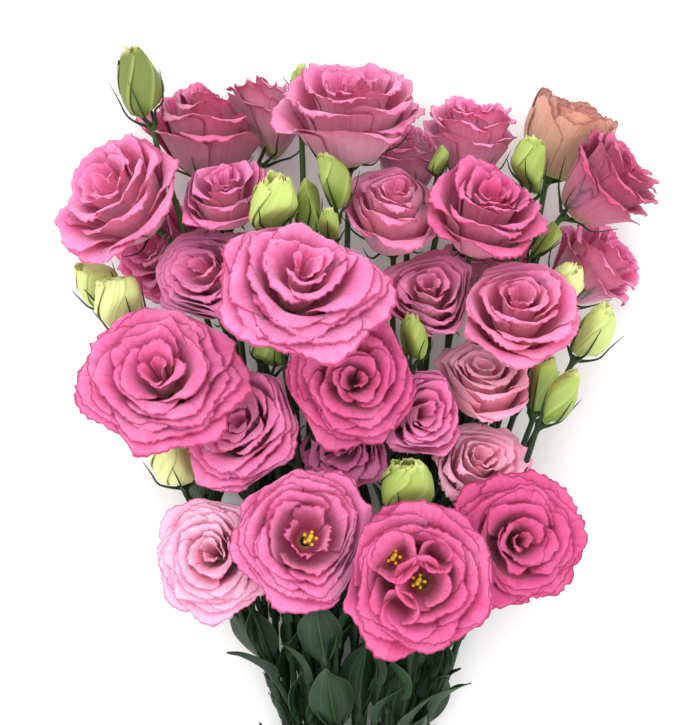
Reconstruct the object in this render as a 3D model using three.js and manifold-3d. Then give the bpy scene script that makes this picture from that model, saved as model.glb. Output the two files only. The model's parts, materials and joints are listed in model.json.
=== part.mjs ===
// A cut bunch of double lisianthus, lying on its back: thirteen branching stems held by one elastic band,
// fanning out into twenty-nine blooms and their buds. Millimetres. X runs across the fan, Y from the cut
// stem ends up to the blooms, and Z up from the surface that the bunch lies on.
import * as THREE from "three";
import { mergeVertices } from "three/addons/utils/BufferGeometryUtils.js";
import Module from "manifold-3d";

const wasm = await Module();
wasm.setup();

// ---- driving dimensions -------------------------------------------------------------------------
const BLADE = 0.9; // thickness of a petal or leaf
const GAP = 0.3; // least space between two pieces that touch
const STEM_RADIUS = 2.6; // a stem at the band
const PEDICEL_RADIUS = 1.5; // a flower stalk
const BAND_X = 6; // the band's middle
const BAND_Y = -100;
const BAND_WIDTH = 14;
const BAND_THICKNESS = 1.6;
const BAND_SIDES = 16;
const STEM_END_Y = -215; // the cut ends, on average
const RING_PITCH = 6.2; // spacing of the stems inside the band
const BUNDLE_RADIUS = RING_PITCH * Math.sqrt(3) + STEM_RADIUS;
const BAND_INNER = BUNDLE_RADIUS + 0.5;
// The band's lowest side is a flat of its outer prism, and it lies on the surface.
const BAND_Z = (BAND_INNER + BAND_THICKNESS) * Math.cos(Math.PI / BAND_SIDES);

// ---- the heads ----------------------------------------------------------------------------------
// name: [spray, middle of the head, way it faces, radius, depth, form]
const HEADS = {
  bloom_01: [1, [-73, 297, 36], [0.0, 0.95, 0.3], 35, 46, "full"],
  bloom_02: [2, [-44, 303, 26], [0.15, 0.97, -0.05], 24, 40, "small"],
  bloom_03: [2, [-3, 301, 68], [0.0, 0.9, 0.42], 37, 46, "full"],
  bloom_04: [3, [58, 292, 44], [0.1, 0.95, 0.25], 25, 38, "full"],
  bloom_05: [4, [106, 293, 34], [0.38, 0.9, 0.2], 23, 38, "cup"],
  bloom_06: [4, [123, 269, 60], [0.75, 0.6, 0.25], 26, 43, "full"],
  bloom_07: [5, [118, 228, 25], [0.72, 0.6, 0.3], 24, 41, "small"],
  bloom_08: [1, [-115, 261, 60], [-0.6, 0.5, 0.6], 35, 40, "full"],
  bloom_09: [6, [-92, 235, 27], [-0.65, 0.35, 0.65], 27, 38, "full"],
  bloom_10: [6, [-69, 224, 68], [-0.45, 0.4, 0.8], 30, 40, "full"],
  bloom_11: [7, [-28, 218, 113], [0.15, 0.5, 0.85], 41, 42, "full"],
  bloom_12: [8, [-94, 173, 88], [-0.12, 0.42, 0.9], 39, 40, "full"],
  bloom_13: [8, [-54, 147, 76], [-0.45, 0.3, 0.84], 33, 42, "full"],
  bloom_14: [11, [0, 173, 88], [0.05, 0.1, 1.0], 33, 40, "full"],
  bloom_15: [11, [30, 156, 76], [0.2, 0.1, 0.97], 25, 36, "small"],
  bloom_16: [9, [38, 213, 68], [0.0, 0.45, 0.9], 27, 36, "small"],
  bloom_17: [9, [20, 255, 70], [0.03, 0.8, 0.6], 31, 43, "full"],
  bloom_18: [9, [63, 254, 78], [0.2, 0.7, 0.68], 32, 43, "full"],
  bloom_19: [10, [81, 204, 76], [0.1, 0.6, 0.79], 31, 40, "full"],
  bloom_20: [10, [66, 170, 62], [0.0, 0.7, 0.7], 28, 38, "small"],
  bloom_21: [12, [60, 128, 60], [0.3, 0.45, 0.84], 26, 38, "small"],
  bloom_22: [13, [-69, 85, 76], [-0.2, 0.1, 0.97], 29, 38, "full"],
  bloom_23: [13, [-23, 94, 94], [0.1, 0.1, 0.99], 35, 40, "open"],
  bloom_24: [12, [79, 93, 82], [0.15, 0.05, 0.98], 33, 38, "full"],
  bloom_25: [12, [31, 74, 102], [0.0, 0.0, 1.0], 36, 42, "open"],
  bloom_26: [6, [-66, 261, 70], [-0.1, 0.75, 0.65], 24, 34, "small"],
  bloom_27: [11, [-4, 139, 56], [-0.2, 0.0, 0.98], 22, 34, "small"],
  bloom_28: [5, [69, 231, 26], [0.15, 0.95, 0.2], 23, 36, "small"],
  bloom_29: [3, [28, 283, 32], [0.05, 0.97, 0.2], 21, 34, "small"],
  bud_01: [1, [-108, 321, 52], [-0.28, 0.95, 0.1], 10.5, 38, "bud"],
  bud_02: [7, [-39, 258, 96], [-0.02, 0.95, 0.3], 13, 32, "bud"],
  bud_03: [7, [-21, 259, 84], [0.12, 0.95, 0.2], 10.5, 32, "bud"],
  bud_04: [2, [-12, 270, 90], [-0.1, 0.95, 0.25], 10.5, 36, "bud"],
  bud_05: [3, [87, 279, 64], [0.1, 0.98, 0.1], 11.5, 31, "bud"],
  bud_06: [6, [-117, 213, 64], [-0.35, 0.85, 0.4], 13, 32, "bud"],
  bud_07: [6, [-130, 222, 46], [-0.5, 0.8, 0.3], 10, 27, "bud"],
  bud_08: [8, [-89, 134, 58], [-0.2, 0.88, 0.4], 13, 29, "bud"],
  bud_09: [8, [-43, 189, 72], [0.0, 0.95, 0.3], 8, 28, "bud"],
  bud_10: [9, [28, 192, 84], [0.1, 0.95, 0.3], 8, 28, "bud"],
  bud_11: [11, [26, 121, 88], [0.0, 0.8, 0.6], 13, 30, "bud"],
  bud_12: [10, [101, 165, 70], [0.5, 0.85, 0.15], 9, 30, "bud"],
  bud_13: [10, [92, 172, 56], [0.15, 0.95, 0.2], 10.5, 30, "bud"],
  bud_14: [5, [119, 198, 56], [0.5, 0.85, 0.1], 10.5, 30, "bud"],
  bud_15: [5, [103, 219, 56], [0.3, 0.9, 0.3], 12, 27, "bud"],
  young_01: [2, [-27, 320, 40], [0.0, 1.0, 0.1], 6, 22, "young"],
  young_02: [7, [-14, 248, 98], [0.1, 0.9, 0.4], 7, 22, "young"],
  young_03: [3, [42, 279, 66], [0.1, 0.97, 0.2], 7, 24, "young"],
  young_04: [4, [96, 242, 58], [0.5, 0.85, 0.1], 6, 26, "young"],
};

// Each spray's stem: its ring and angle in degrees inside the band, and the head that it runs up to.
const SPRAYS = {
  1: [1, 240, "bud_01"],
  2: [0, 0, "bloom_02"],
  3: [2, 270, "bud_05"],
  4: [1, 300, "bloom_05"],
  5: [2, 330, "bloom_07"],
  6: [2, 210, "bud_07"],
  7: [1, 120, "bud_02"],
  8: [1, 180, "bloom_12"],
  9: [1, 60, "bloom_18"],
  10: [1, 0, "bloom_19"],
  11: [2, 90, "bloom_14"],
  12: [2, 30, "bloom_21"],
  13: [2, 150, "bloom_22"],
};
const RING_RADII = [0, RING_PITCH, RING_PITCH * Math.sqrt(3)];

// ---- small tools --------------------------------------------------------------------------------
const vec = (x, y, z) => new THREE.Vector3(x, y, z);

// A repeatable draw from 0 to 1 for any two numbers.
function draw(a, b) {
  const x = Math.sin(a * 127.1 + b * 311.7) * 43758.5453;
  return x - Math.floor(x);
}

// A closed solid from shared points and triangles.
function solidOf(points, triangles) {
  const vertProperties = new Float32Array(points.flatMap((p) => [p.x, p.y, p.z]));
  const triVerts = new Uint32Array(triangles.flat());
  return new wasm.Manifold(new wasm.Mesh({ numProp: 3, vertProperties, triVerts }));
}

function solidOfGeometry(geometry) {
  geometry.deleteAttribute("normal");
  geometry.deleteAttribute("uv");
  const merged = mergeVertices(geometry, 1e-3);
  return new wasm.Manifold(
    new wasm.Mesh({
      numProp: 3,
      vertProperties: merged.attributes.position.array,
      triVerts: new Uint32Array(merged.index.array),
    }),
  );
}

// The largest body of a solid: scraps that a cut leaves loose are dropped.
function largest(solid) {
  return solid.decompose().reduce((a, b) => (b.volume() > a.volume() ? b : a));
}

// A ring of points round a centre, in the plane of the directions u and v.
function ringOf(centre, u, v, radius, sides, turn = 0) {
  return Array.from({ length: sides }, (_, k) => {
    const angle = turn + (2 * Math.PI * k) / sides;
    return centre
      .clone()
      .addScaledVector(u, radius * Math.cos(angle))
      .addScaledVector(v, radius * Math.sin(angle));
  });
}

// Skins a stack of rings, which may differ in count, and closes both ends.
function loft(rings) {
  const starts = rings.map((_, r) => rings.slice(0, r).reduce((sum, ring) => sum + ring.length, 0));
  const triangles = [];
  for (let r = 0; r + 1 < rings.length; r++) {
    const [m, n] = [rings[r].length, rings[r + 1].length];
    const low = (k) => starts[r] + (k % m);
    const high = (k) => starts[r + 1] + (k % n);
    let [i, j] = [0, 0];
    while (i < m || j < n) {
      const stepLow = j >= n || (i < m && (i + 1) / m <= (j + 1) / n);
      if (stepLow) triangles.push([low(i), low(++i), high(j)]);
      else triangles.push([low(i), high(j + 1), high(j++)]);
    }
  }
  const last = starts[rings.length - 1];
  for (let k = 1; k + 1 < rings[0].length; k++) triangles.push([0, k + 1, k]);
  const lastCount = rings[rings.length - 1].length;
  for (let k = 1; k + 1 < lastCount; k++) triangles.push([last, last + k, last + k + 1]);
  return solidOf(rings.flat(), triangles);
}

// A round bar along a path, with its own radius at each point.
function bar(path, radii, sides) {
  let u = null;
  const rings = path.map((p, i) => {
    const along = path[Math.min(i + 1, path.length - 1)].clone().sub(path[Math.max(i - 1, 0)]);
    along.normalize();
    const guess = u || (Math.abs(along.z) < 0.9 ? vec(0, 0, 1) : vec(1, 0, 0));
    u = guess.clone().addScaledVector(along, -guess.dot(along)).normalize();
    return ringOf(p, u, along.clone().cross(u), radii[i], sides);
  });
  return loft(rings);
}

// A thin blade over rows of points, which may differ in count. Both faces are split alike.
function blade(rows, thickness = BLADE) {
  const starts = rows.map((_, r) => rows.slice(0, r).reduce((sum, row) => sum + row.length, 0));
  const points = rows.flat();
  const faces = [];
  for (let r = 0; r + 1 < rows.length; r++) {
    const [m, n] = [rows[r].length, rows[r + 1].length];
    let [i, j] = [0, 0];
    while (i + 1 < m || j + 1 < n) {
      const stepLower = j + 1 >= n || (i + 1 < m && (i + 1) / (m - 1) <= (j + 1) / (n - 1));
      if (stepLower) faces.push([starts[r] + i, starts[r] + i + 1, starts[r + 1] + j]);
      else faces.push([starts[r] + i, starts[r + 1] + j + 1, starts[r + 1] + j]);
      if (stepLower) i++;
      else j++;
    }
  }
  const normals = points.map(() => vec(0, 0, 0));
  for (const [a, b, c] of faces) {
    const n = points[b].clone().sub(points[a]).cross(points[c].clone().sub(points[a]));
    for (const k of [a, b, c]) normals[k].add(n);
  }
  normals.forEach((n) => n.setLength(thickness / 2));
  const front = points.map((p, k) => p.clone().add(normals[k]));
  const back = points.map((p, k) => p.clone().sub(normals[k]));
  const count = points.length;
  const lastRow = rows.length - 1;
  const edge = [
    ...rows[0].map((_, k) => k),
    ...rows.slice(1).map((row, r) => starts[r + 1] + row.length - 1),
    ...rows[lastRow].slice(1).map((_, k, all) => starts[lastRow] + all.length - 1 - k),
    ...rows.slice(1, -1).map((_, r) => starts[r + 1]).reverse(),
  ];
  const walls = edge.flatMap((a, k) => {
    const b = edge[(k + 1) % edge.length];
    return [[b, a, a + count], [b, a + count, b + count]];
  });
  const backFaces = faces.map(([a, b, c]) => [a + count, c + count, b + count]);
  return solidOf([...front, ...back], [...faces, ...backFaces, ...walls]);
}

// ---- a head's own frame and the room it has ------------------------------------------------------
const FLOOR_SINK = 0.55; // petals that reach the surface are cut to a small flat there
const heads = Object.entries(HEADS).map(([name, [spray, at, facing, radius, depth, form]], index) => {
  const axis = vec(...facing).normalize();
  const u = vec(0, 1, 0).cross(axis);
  if (u.length() < 0.2) u.set(1, 0, 0).cross(axis);
  u.normalize();
  const middle = vec(...at);
  return {
    name,
    index,
    spray,
    axis,
    u,
    v: axis.clone().cross(u),
    middle,
    base: middle.clone().addScaledVector(axis, -depth / 2),
    radius,
    depth,
    form,
    walls: [{ n: vec(0, 0, -1), c: FLOOR_SINK, floor: true }],
  };
});
const isBloom = (head) => head.name.startsWith("bloom");

// A point of a head's own frame, rho from its axis at an angle and rise above its base.
function onHead(head, rho, angle, rise) {
  return head.base
    .clone()
    .addScaledVector(head.u, rho * Math.cos(angle))
    .addScaledVector(head.v, rho * Math.sin(angle))
    .addScaledVector(head.axis, rise);
}

// Each head is taken as an ellipsoid: its reach in a direction, and the point that reaches furthest.
function reach(head, n) {
  const along = n.dot(head.axis);
  return Math.hypot(head.radius * Math.sqrt(Math.max(0, 1 - along * along)), 0.5 * head.depth * along);
}
function furthest(head, n) {
  const along = n.dot(head.axis);
  const [flat, deep] = [head.radius ** 2, (0.5 * head.depth) ** 2];
  const point = n.clone().multiplyScalar(flat).addScaledVector(head.axis, (deep - flat) * along);
  return point.divideScalar(reach(head, n));
}

// Neighbours share the space between them at a flat wall, set where they overlap least.
const NEAR = 8; // heads further apart than this don't press on each other
const WALL_TURNS = 30;
const WALL_STEP = 0.3;
for (const a of heads) {
  for (const b of heads) {
    const d = b.middle.clone().sub(a.middle);
    if (a === b || d.length() > a.radius + b.radius + NEAR + 10) continue;
    const n = d.clone().normalize();
    for (let k = 0; k < WALL_TURNS; k++) {
      const pull = d.clone().sub(furthest(a, n)).sub(furthest(b, n));
      n.addScaledVector(pull, WALL_STEP / d.length()).normalize();
    }
    const [ra, rb] = [reach(a, n), reach(b, n)];
    const free = n.dot(d) - ra - rb;
    if (free < NEAR) a.walls.push({ n, c: n.dot(a.middle) + ra + (free * ra) / (ra + rb) });
  }
}

// Presses a point softly back inside its head's walls, keeping a margin from them.
const SOFTNESS = 5;
function press(head, p, margin) {
  for (let pass = 0; pass < 3; pass++) {
    for (const { n, c } of head.walls) {
      const inside = c - margin - n.dot(p);
      if (inside < SOFTNESS) p.addScaledVector(n, inside - SOFTNESS * Math.exp(inside / SOFTNESS - 1));
    }
  }
  return p;
}

// ---- the stems' routes ---------------------------------------------------------------------------
// Each stem runs from its cut end through the band and up to its spray's leading head. The other heads'
// stalks leave it one after another at the fork. All of them then ease round the heads and each other.
const ROUTE_STEP = 7;
const FORK_SHARE = 0.22; // how far up from the band a spray forks
const FORK_SPACING = 2; // route points between one stalk and the next
const EASING_TURNS = 160;
const BAND_EXIT_Y = BAND_Y + 22;
const sprays = Object.keys(SPRAYS).map(Number);

function bandPlace(spray) {
  const [ring, degrees] = SPRAYS[spray];
  const angle = THREE.MathUtils.degToRad(degrees);
  const [across, up] = [RING_RADII[ring] * Math.cos(angle), RING_RADII[ring] * Math.sin(angle)];
  return vec(BAND_X + across, BAND_Y, BAND_Z + up);
}

// Points a fixed distance apart along a smooth curve from one point and heading to another.
function smoothRun(from, fromWay, to, toWay) {
  const pull = from.distanceTo(to) / 3;
  const curve = new THREE.CubicBezierCurve3(
    from,
    from.clone().addScaledVector(fromWay, pull),
    to.clone().addScaledVector(toWay, -pull),
    to,
  );
  const steps = Math.max(3, Math.round(from.distanceTo(to) / ROUTE_STEP));
  return curve.getSpacedPoints(steps);
}

const routes = [];
for (const spray of sprays) {
  const lead = heads.find((h) => h.name === SPRAYS[spray][2]);
  const others = heads.filter((h) => h.spray === spray && h !== lead);
  others.sort((a, b) => a.base.y - b.base.y);
  const start = bandPlace(spray).setY(BAND_EXIT_Y);
  const fan = lead.base.clone().sub(start).normalize();
  const main = { spray, head: lead, points: smoothRun(start, fan, lead.base, lead.axis) };
  routes.push(main);
  const forkY = THREE.MathUtils.lerp(BAND_EXIT_Y, Math.min(lead.base.y, others[0].base.y), FORK_SHARE);
  const fork = main.points.findIndex((p) => p.y > forkY);
  others.forEach((head, k) => {
    const index = Math.min(fork + FORK_SPACING * k, main.points.length - 5);
    const from = main.points[index];
    const way = head.base.clone().sub(from).normalize().add(vec(0, 0.8, 0)).normalize();
    routes.push({ spray, head, parent: main, index, points: smoothRun(from, way, head.base, head.axis) });
  });
}
for (const route of routes) {
  const top = route.parent ? PEDICEL_RADIUS + 0.3 : STEM_RADIUS;
  const length = route.points.length - 1;
  route.radii = route.points.map((_, i) => {
    const share = i / length;
    return THREE.MathUtils.lerp(top, PEDICEL_RADIUS, route.parent ? share : Math.min(1, share * 1.25));
  });
}

const EASE = 0.35; // how far a point moves towards the middle of its neighbours
const HEAD_SHARE = 0.82; // the part of a head that stalks keep clear of
const STALK_SPACE = 3.4;
const PUSH = 0.5;
function easeRoutes() {
  const beads = routes.flatMap((route) => route.points.map((p, i) => ({ route, i, p, r: route.radii[i] })));
  beads.forEach((bead) => {
    const last = bead.route.points.length - 1;
    bead.fixed = bead.i < 1 || bead.i > last - 2;
  });
  for (let turn = 0; turn < EASING_TURNS; turn++) {
    const moves = beads.map(() => vec(0, 0, 0));
    beads.forEach((bead, k) => {
      if (bead.fixed) return;
      const { route, i, p, r } = bead;
      const mid = route.points[i - 1].clone().add(route.points[i + 1]).divideScalar(2);
      moves[k].add(mid.sub(p).multiplyScalar(EASE));
      for (const head of heads) {
        if (head === route.head && i > route.points.length - 5) continue;
        const q = p.clone().sub(head.middle);
        const along = q.dot(head.axis);
        const around = Math.sqrt(Math.max(0, q.lengthSq() - along * along));
        const width = head.radius * HEAD_SHARE + r + 1;
        const height = 0.5 * head.depth * HEAD_SHARE + r + 1;
        const share = Math.hypot(around / width, along / height);
        if (share < 1) moves[k].addScaledVector(q, PUSH * Math.min(1 / Math.max(share, 0.2) - 1, 0.4));
      }
      for (const other of beads) {
        if (other.route === route) continue;
        const kin = other.route.spray === route.spray;
        const rootsNear = kin && (i < 5 || other.i < 5);
        if (rootsNear) continue;
        const space = r + other.r + STALK_SPACE;
        const dx = p.x - other.p.x;
        const dy = p.y - other.p.y;
        const dz = p.z - other.p.z;
        const square = dx * dx + dy * dy + dz * dz;
        if (square >= space * space || square < 1e-6) continue;
        const away = (PUSH * (space - Math.sqrt(square))) / Math.sqrt(square);
        moves[k].x += dx * away;
        moves[k].y += dy * away;
        moves[k].z += dz * away;
      }
    });
    beads.forEach((bead, k) => {
      bead.p.add(moves[k]);
      bead.p.z = Math.max(bead.p.z, bead.r + 0.8);
    });
    for (const route of routes) if (route.parent) route.points[0].copy(route.parent.points[route.index]);
  }
}
easeRoutes();

// Every route as a chain of beads, for keeping petals and leaves clear of it.
const chain = routes.flatMap((route) => route.points.map((p, i) => ({ route, i, p, r: route.radii[i] })));

// ---- blooms --------------------------------------------------------------------------------------
// A bloom is one ruffled sheet round its axis: up the outside, over the rim of a whorl of petals, down
// between it and the next, and over that, to the middle. Places are shares of the bloom's radius and depth.
// A lobe is the middle of a petal's rim, and a notch is where two petals of a whorl part.
const FORMS = {
  full: {
    sides: [[0.62, 0.16], [0.86, 0.46]],
    whorls: [
      { lobe: [1.02, 0.72], notch: [0.93, 0.62], valley: [0.66, 0.64] },
      { lobe: [0.8, 0.92], notch: [0.68, 0.82], valley: [0.4, 0.8] },
      { lobe: [0.5, 1.03], notch: [0.36, 0.94], valley: [0.12, 0.86] },
    ],
  },
  small: {
    sides: [[0.62, 0.16], [0.86, 0.46]],
    whorls: [
      { lobe: [1.02, 0.76], notch: [0.92, 0.64], valley: [0.6, 0.7] },
      { lobe: [0.7, 1.0], notch: [0.54, 0.88], valley: [0.16, 0.8] },
    ],
  },
  cup: {
    sides: [[0.7, 0.12], [1.0, 0.48]],
    whorls: [
      { lobe: [0.96, 0.97], notch: [0.98, 0.82], valley: [0.76, 0.76] },
      { lobe: [0.64, 1.0], notch: [0.62, 0.88], valley: [0.4, 0.8] },
      { lobe: [0.28, 1.02], notch: [0.26, 0.92], valley: [0.1, 0.82] },
    ],
  },
  open: {
    sides: [[0.6, 0.18], [0.84, 0.46]],
    whorls: [
      { lobe: [1.02, 0.7], notch: [0.94, 0.6], valley: [0.66, 0.62] },
      { lobe: [0.82, 0.88], notch: [0.7, 0.77], valley: [0.48, 0.74] },
      { lobe: [0.56, 0.96], notch: [0.42, 0.86], valley: [0.2, 0.44] },
    ],
  },
};
const PETALS = 5;
// The places across one petal, from notch to notch, in a ring of 5, 10 or 15 points.
const ACROSS = {
  5: [-1],
  10: [-1, 0],
  15: [-1, -0.42, 0.42],
};
const BASE_RADIUS = 3.2; // the flat foot of a head, on its calyx
const REACH_DRAW = 0.12; // how much one petal's reach differs from another's
const RISE_DRAW = 0.1;
const STEM_ROOM = 1.6; // space between a petal and a stem that passes it

// The angles of a ring's points. The first point of each petal is a notch of the outer whorl.
function ringAngles(head, count) {
  const across = ACROSS[count];
  return Array.from({ length: count }, (_, k) => {
    const petal = Math.floor(k / across.length) + 0.5;
    return ((petal + across[k % across.length] / 2) * 2 * Math.PI) / PETALS + head.index;
  });
}

// Moves a point off the stems that pass it.
function clearOfStems(head, p) {
  for (const bead of chain) {
    if (bead.route.head === head && bead.i > bead.route.points.length - 6) continue;
    const away = p.clone().sub(bead.p);
    const short = bead.r + STEM_ROOM - away.length();
    if (short > 0) p.addScaledVector(away.normalize(), short);
  }
  return p;
}

function settle(head, p, margin) {
  return press(head, clearOfStems(head, press(head, p, margin)), margin);
}

function bloomSolid(head) {
  const { sides, whorls } = FORMS[head.form];
  const counts = whorls.map((_, order) => (order > 0 && order === whorls.length - 1 ? 10 : 15));
  const ringAt = ([rho, rise], count) =>
    ringAngles(head, count).map((angle) => {
      return settle(head, onHead(head, rho * head.radius, angle, rise * head.depth), GAP);
    });
  const rings = [
    ringAngles(head, 5).map((angle) => onHead(head, BASE_RADIUS, angle, 0)),
    ringAt(sides[0], 10),
    ringAt(sides[1], 15),
  ];
  whorls.forEach(({ lobe, notch, valley }, order) => {
    const count = counts[order];
    const below = ringAt(order ? whorls[order - 1].valley : sides[1], count);
    const inner = ringAt(valley, count);
    const rim = ringAngles(head, count).map((angle, k) => {
      const each = count / PETALS;
      const [rho, rise] = (k + 2 * order) % each === 0 ? notch : lobe;
      const seed = head.index * 60 + order * 20 + k;
      const rhoHere = rho * head.radius * (1 + REACH_DRAW * (draw(seed, 1) - 0.5));
      const riseHere = rise * head.depth * (1 + RISE_DRAW * (draw(seed, 2) - 0.5));
      return settle(head, onHead(head, rhoHere, angle, riseHere), BLADE / 2 + GAP / 2);
    });
    // The rim is a blade's thickness across, square to the way the petal runs out to it.
    const half = rim.map((p, k) => {
      const run = p.clone().sub(below[k].clone().add(inner[k]).divideScalar(2)).normalize();
      const across = inner[k].clone().sub(below[k]);
      return across.addScaledVector(run, -across.dot(run)).setLength(BLADE / 2);
    });
    rings.push(rim.map((p, k) => p.clone().sub(half[k])), rim.map((p, k) => p.clone().add(half[k])));
    rings.push(ringAt(valley, counts[order + 1] || 5));
  });
  return loft(rings);
}

// Cuts a solid flat at its head's walls, where it would pass them.
function trim(solid, head) {
  return head.walls.reduce((made, { n, c, floor }) => {
    const limit = floor ? 0 : c - GAP / 2;
    return made.trimByPlane([-n.x, -n.y, -n.z], -limit);
  }, solid);
}

// ---- buds ----------------------------------------------------------------------------------------
// A bud is a furled spindle: its petals wind round each other and their ragged tips stand at the top.
const BUD_SIDES = 8;
const BUD_TWIST = 0.9;
const BUD_FOLD = 0.07;
const BUD_LINE = [[0.8, 0.13], [1.0, 0.42], [0.78, 0.76]];
const BUD_WALL_MARGIN = 2.4; // leaves room for the sepals between a bud and its neighbours

function budSolid(head, baseRadius) {
  const at = (share, rise, k, fold) => {
    const angle = (2 * Math.PI * k) / BUD_SIDES + BUD_TWIST * rise;
    const rho = share * head.radius * (1 + (k % 2 ? fold : -fold));
    return press(head, onHead(head, rho, angle, rise * head.depth), BUD_WALL_MARGIN);
  };
  const corners = [...Array(BUD_SIDES).keys()];
  const rings = [
    ringOf(head.base, head.u, head.v, baseRadius, BUD_SIDES),
    ...BUD_LINE.map(([share, rise]) => corners.map((k) => at(share, rise, k, BUD_FOLD))),
    corners.map((k) => at(0.4, 1.0 + 0.05 * (k % 2), k, 3 * BUD_FOLD)),
  ];
  return loft(rings);
}

// ---- stems, calyces and sepals ---------------------------------------------------------------------
const BEND = 1.3; // how far a stem may stray from the straight stretches it is built of
const STEM_SIDES = 5;
const STALK_SIDES = 4;
const CALYX_RADIUS = 3.6;
const CALYX_DEPTH = 6;
const SEPAL_SHOWN = ["bloom_06", "bud_01", "bud_12"];
const SEPAL_COUNT = 5;
const SEPAL_RADII = [1.1, 0.8, 0.3];

// The fewest of a route's points that keep every other within BEND of the straight stretches between them.
function straightened(points) {
  const kept = [0];
  for (let i = 2; i < points.length; i++) {
    const from = kept[kept.length - 1];
    const line = new THREE.Line3(points[from], points[i]);
    const strays = points.slice(from + 1, i).some((p) => {
      return line.closestPointToPoint(p, true, vec(0, 0, 0)).distanceTo(p) > BEND;
    });
    if (strays) kept.push(i - 1);
  }
  kept.push(points.length - 1);
  return kept;
}

// A route's path and radii as built: splayed below the band, and flared to the calyx at its head.
function stretch(route) {
  const run = route.points.slice(0, route.points.length - 2);
  const kept = straightened(run);
  const path = kept.map((i) => run[i].clone());
  const radii = kept.map((i) => route.radii[i]);
  const { base, axis } = route.head;
  path.push(base.clone().addScaledVector(axis, -CALYX_DEPTH), base.clone().addScaledVector(axis, -GAP));
  radii.push(PEDICEL_RADIUS, CALYX_RADIUS);
  if (!route.parent) {
    const place = bandPlace(route.spray);
    const endZ = Math.max(STEM_RADIUS + 0.9, BAND_Z + 1.3 * (place.z - BAND_Z) - 4);
    const endY = STEM_END_Y + 16 * (draw(route.spray, 5) - 0.5);
    const endX = BAND_X + 2.6 * (place.x - BAND_X);
    path.unshift(vec(endX, endY, endZ), place.clone().setY(BAND_Y - 20));
    radii.unshift(STEM_RADIUS, STEM_RADIUS);
  }
  return { path, radii, sides: route.parent ? STALK_SIDES : STEM_SIDES };
}

function sepalSolids(head, extra = 0) {
  const bud = !isBloom(head);
  return [...Array(SEPAL_COUNT).keys()].map((k) => {
    const angle = (2 * Math.PI * (k + 0.5)) / SEPAL_COUNT + head.index;
    const stops = bud
      ? [[0.86 * head.radius + 1.4, 0.13], [1.08 * head.radius + 1.4, 0.42 + 0.12 * draw(head.index, k)]]
      : FORMS[head.form].sides.map(([rho, rise]) => [rho * head.radius + 1.6, rise]);
    const path = [
      onHead(head, 2.2, angle, -2.6),
      ...stops.map(([rho, rise]) => press(head, onHead(head, rho, angle, rise * head.depth), 1.1)),
    ];
    return trim(bar(path, SEPAL_RADII.map((x) => x + extra), 3), head);
  });
}

// A spray's stems, calyces, sepals and young green buds.
function stemPieces(spray) {
  return routes
    .filter((route) => route.spray === spray)
    .flatMap((route) => {
      const { path, radii, sides } = stretch(route);
      const young = route.head.form === "young" ? [budSolid(route.head, CALYX_RADIUS - 1)] : [];
      const sepals = SEPAL_SHOWN.includes(route.head.name) ? sepalSolids(route.head) : [];
      return [bar(path, radii, sides), ...young, ...sepals];
    });
}

// What a head must not touch: its own sepals and any other head's stalk, each a little fatter than it is.
function keptClear(head) {
  const reachOut = Math.max(head.radius, head.depth) + 12;
  const isNear = (route) => route.points.some((p) => p.distanceTo(head.middle) < reachOut);
  const stalks = routes
    .filter((route) => route.head !== head && isNear(route))
    .map((route) => {
      const { path, radii, sides } = stretch(route);
      return bar(path, radii.map((x) => x + GAP + 0.2), sides);
    });
  return SEPAL_SHOWN.includes(head.name) ? [...stalks, ...sepalSolids(head, GAP)] : stalks;
}

// A head cut to its walls and clear of what passes it.
function fitted(solid, head) {
  return largest(keptClear(head).reduce((made, other) => made.subtract(other), trim(solid, head)));
}

const headSolids = new Map();
for (const head of heads) {
  if (isBloom(head)) headSolids.set(head, fitted(bloomSolid(head), head));
  if (head.form === "bud") headSolids.set(head, fitted(budSolid(head, BASE_RADIUS), head));
}

// ---- leaves --------------------------------------------------------------------------------------
// Opposite pairs of stalkless oval leaves clasp each stem above the band, large below and small at the
// forks. A leaf turns round its stem to the side where it has most room, and there is none without room.
const LEAF_NODES = [6, 11, 16, 22, 28]; // how far up each stem its pairs stand, in route points
const LEAF_FACE = 0.8; // least turn of a leaf towards the upper or under side of the bunch
const LEAF_LENGTH = 58;
const LEAF_UPPER_LENGTH = 38;
const LEAF_WIDTH_SHARE = 0.44;
const LEAF_SIZES = [1, 0.75]; // a leaf short of room is smaller
const LEAF_TURNS = 16;
const LEAF_ROOM = 0.5;
const LEAF_HOLLOW = 0.35; // how far its edges stand up
// How far along a leaf each row of points is, the leaf's width there, and the places across it.
const LEAF_ROWS = [
  { t: 0, width: 0.1, across: [-1, 1] },
  { t: 0.45, width: 1, across: [-1, 0, 1] },
  { t: 1, width: 0.14, across: [-1, 1] },
];

// A leaf's rows of points. It leaves the stem steeply and bends away from it.
function leafRows({ root, out, along, length }) {
  const side = along.clone().cross(out);
  const up = along.clone().multiplyScalar(0.6).addScaledVector(out, -0.8);
  return LEAF_ROWS.map(({ t, width, across }) => {
    const half = 0.5 * length * LEAF_WIDTH_SHARE * width;
    const middle = root
      .clone()
      .addScaledVector(out, length * (0.34 * t + 0.1 * t * t))
      .addScaledVector(along, length * (0.95 * t - 0.15 * t * t));
    return across.map((s) => {
      const onSide = middle.clone().addScaledVector(side, half * s);
      return onSide.addScaledVector(up, LEAF_HOLLOW * half * s * s);
    });
  });
}

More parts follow.
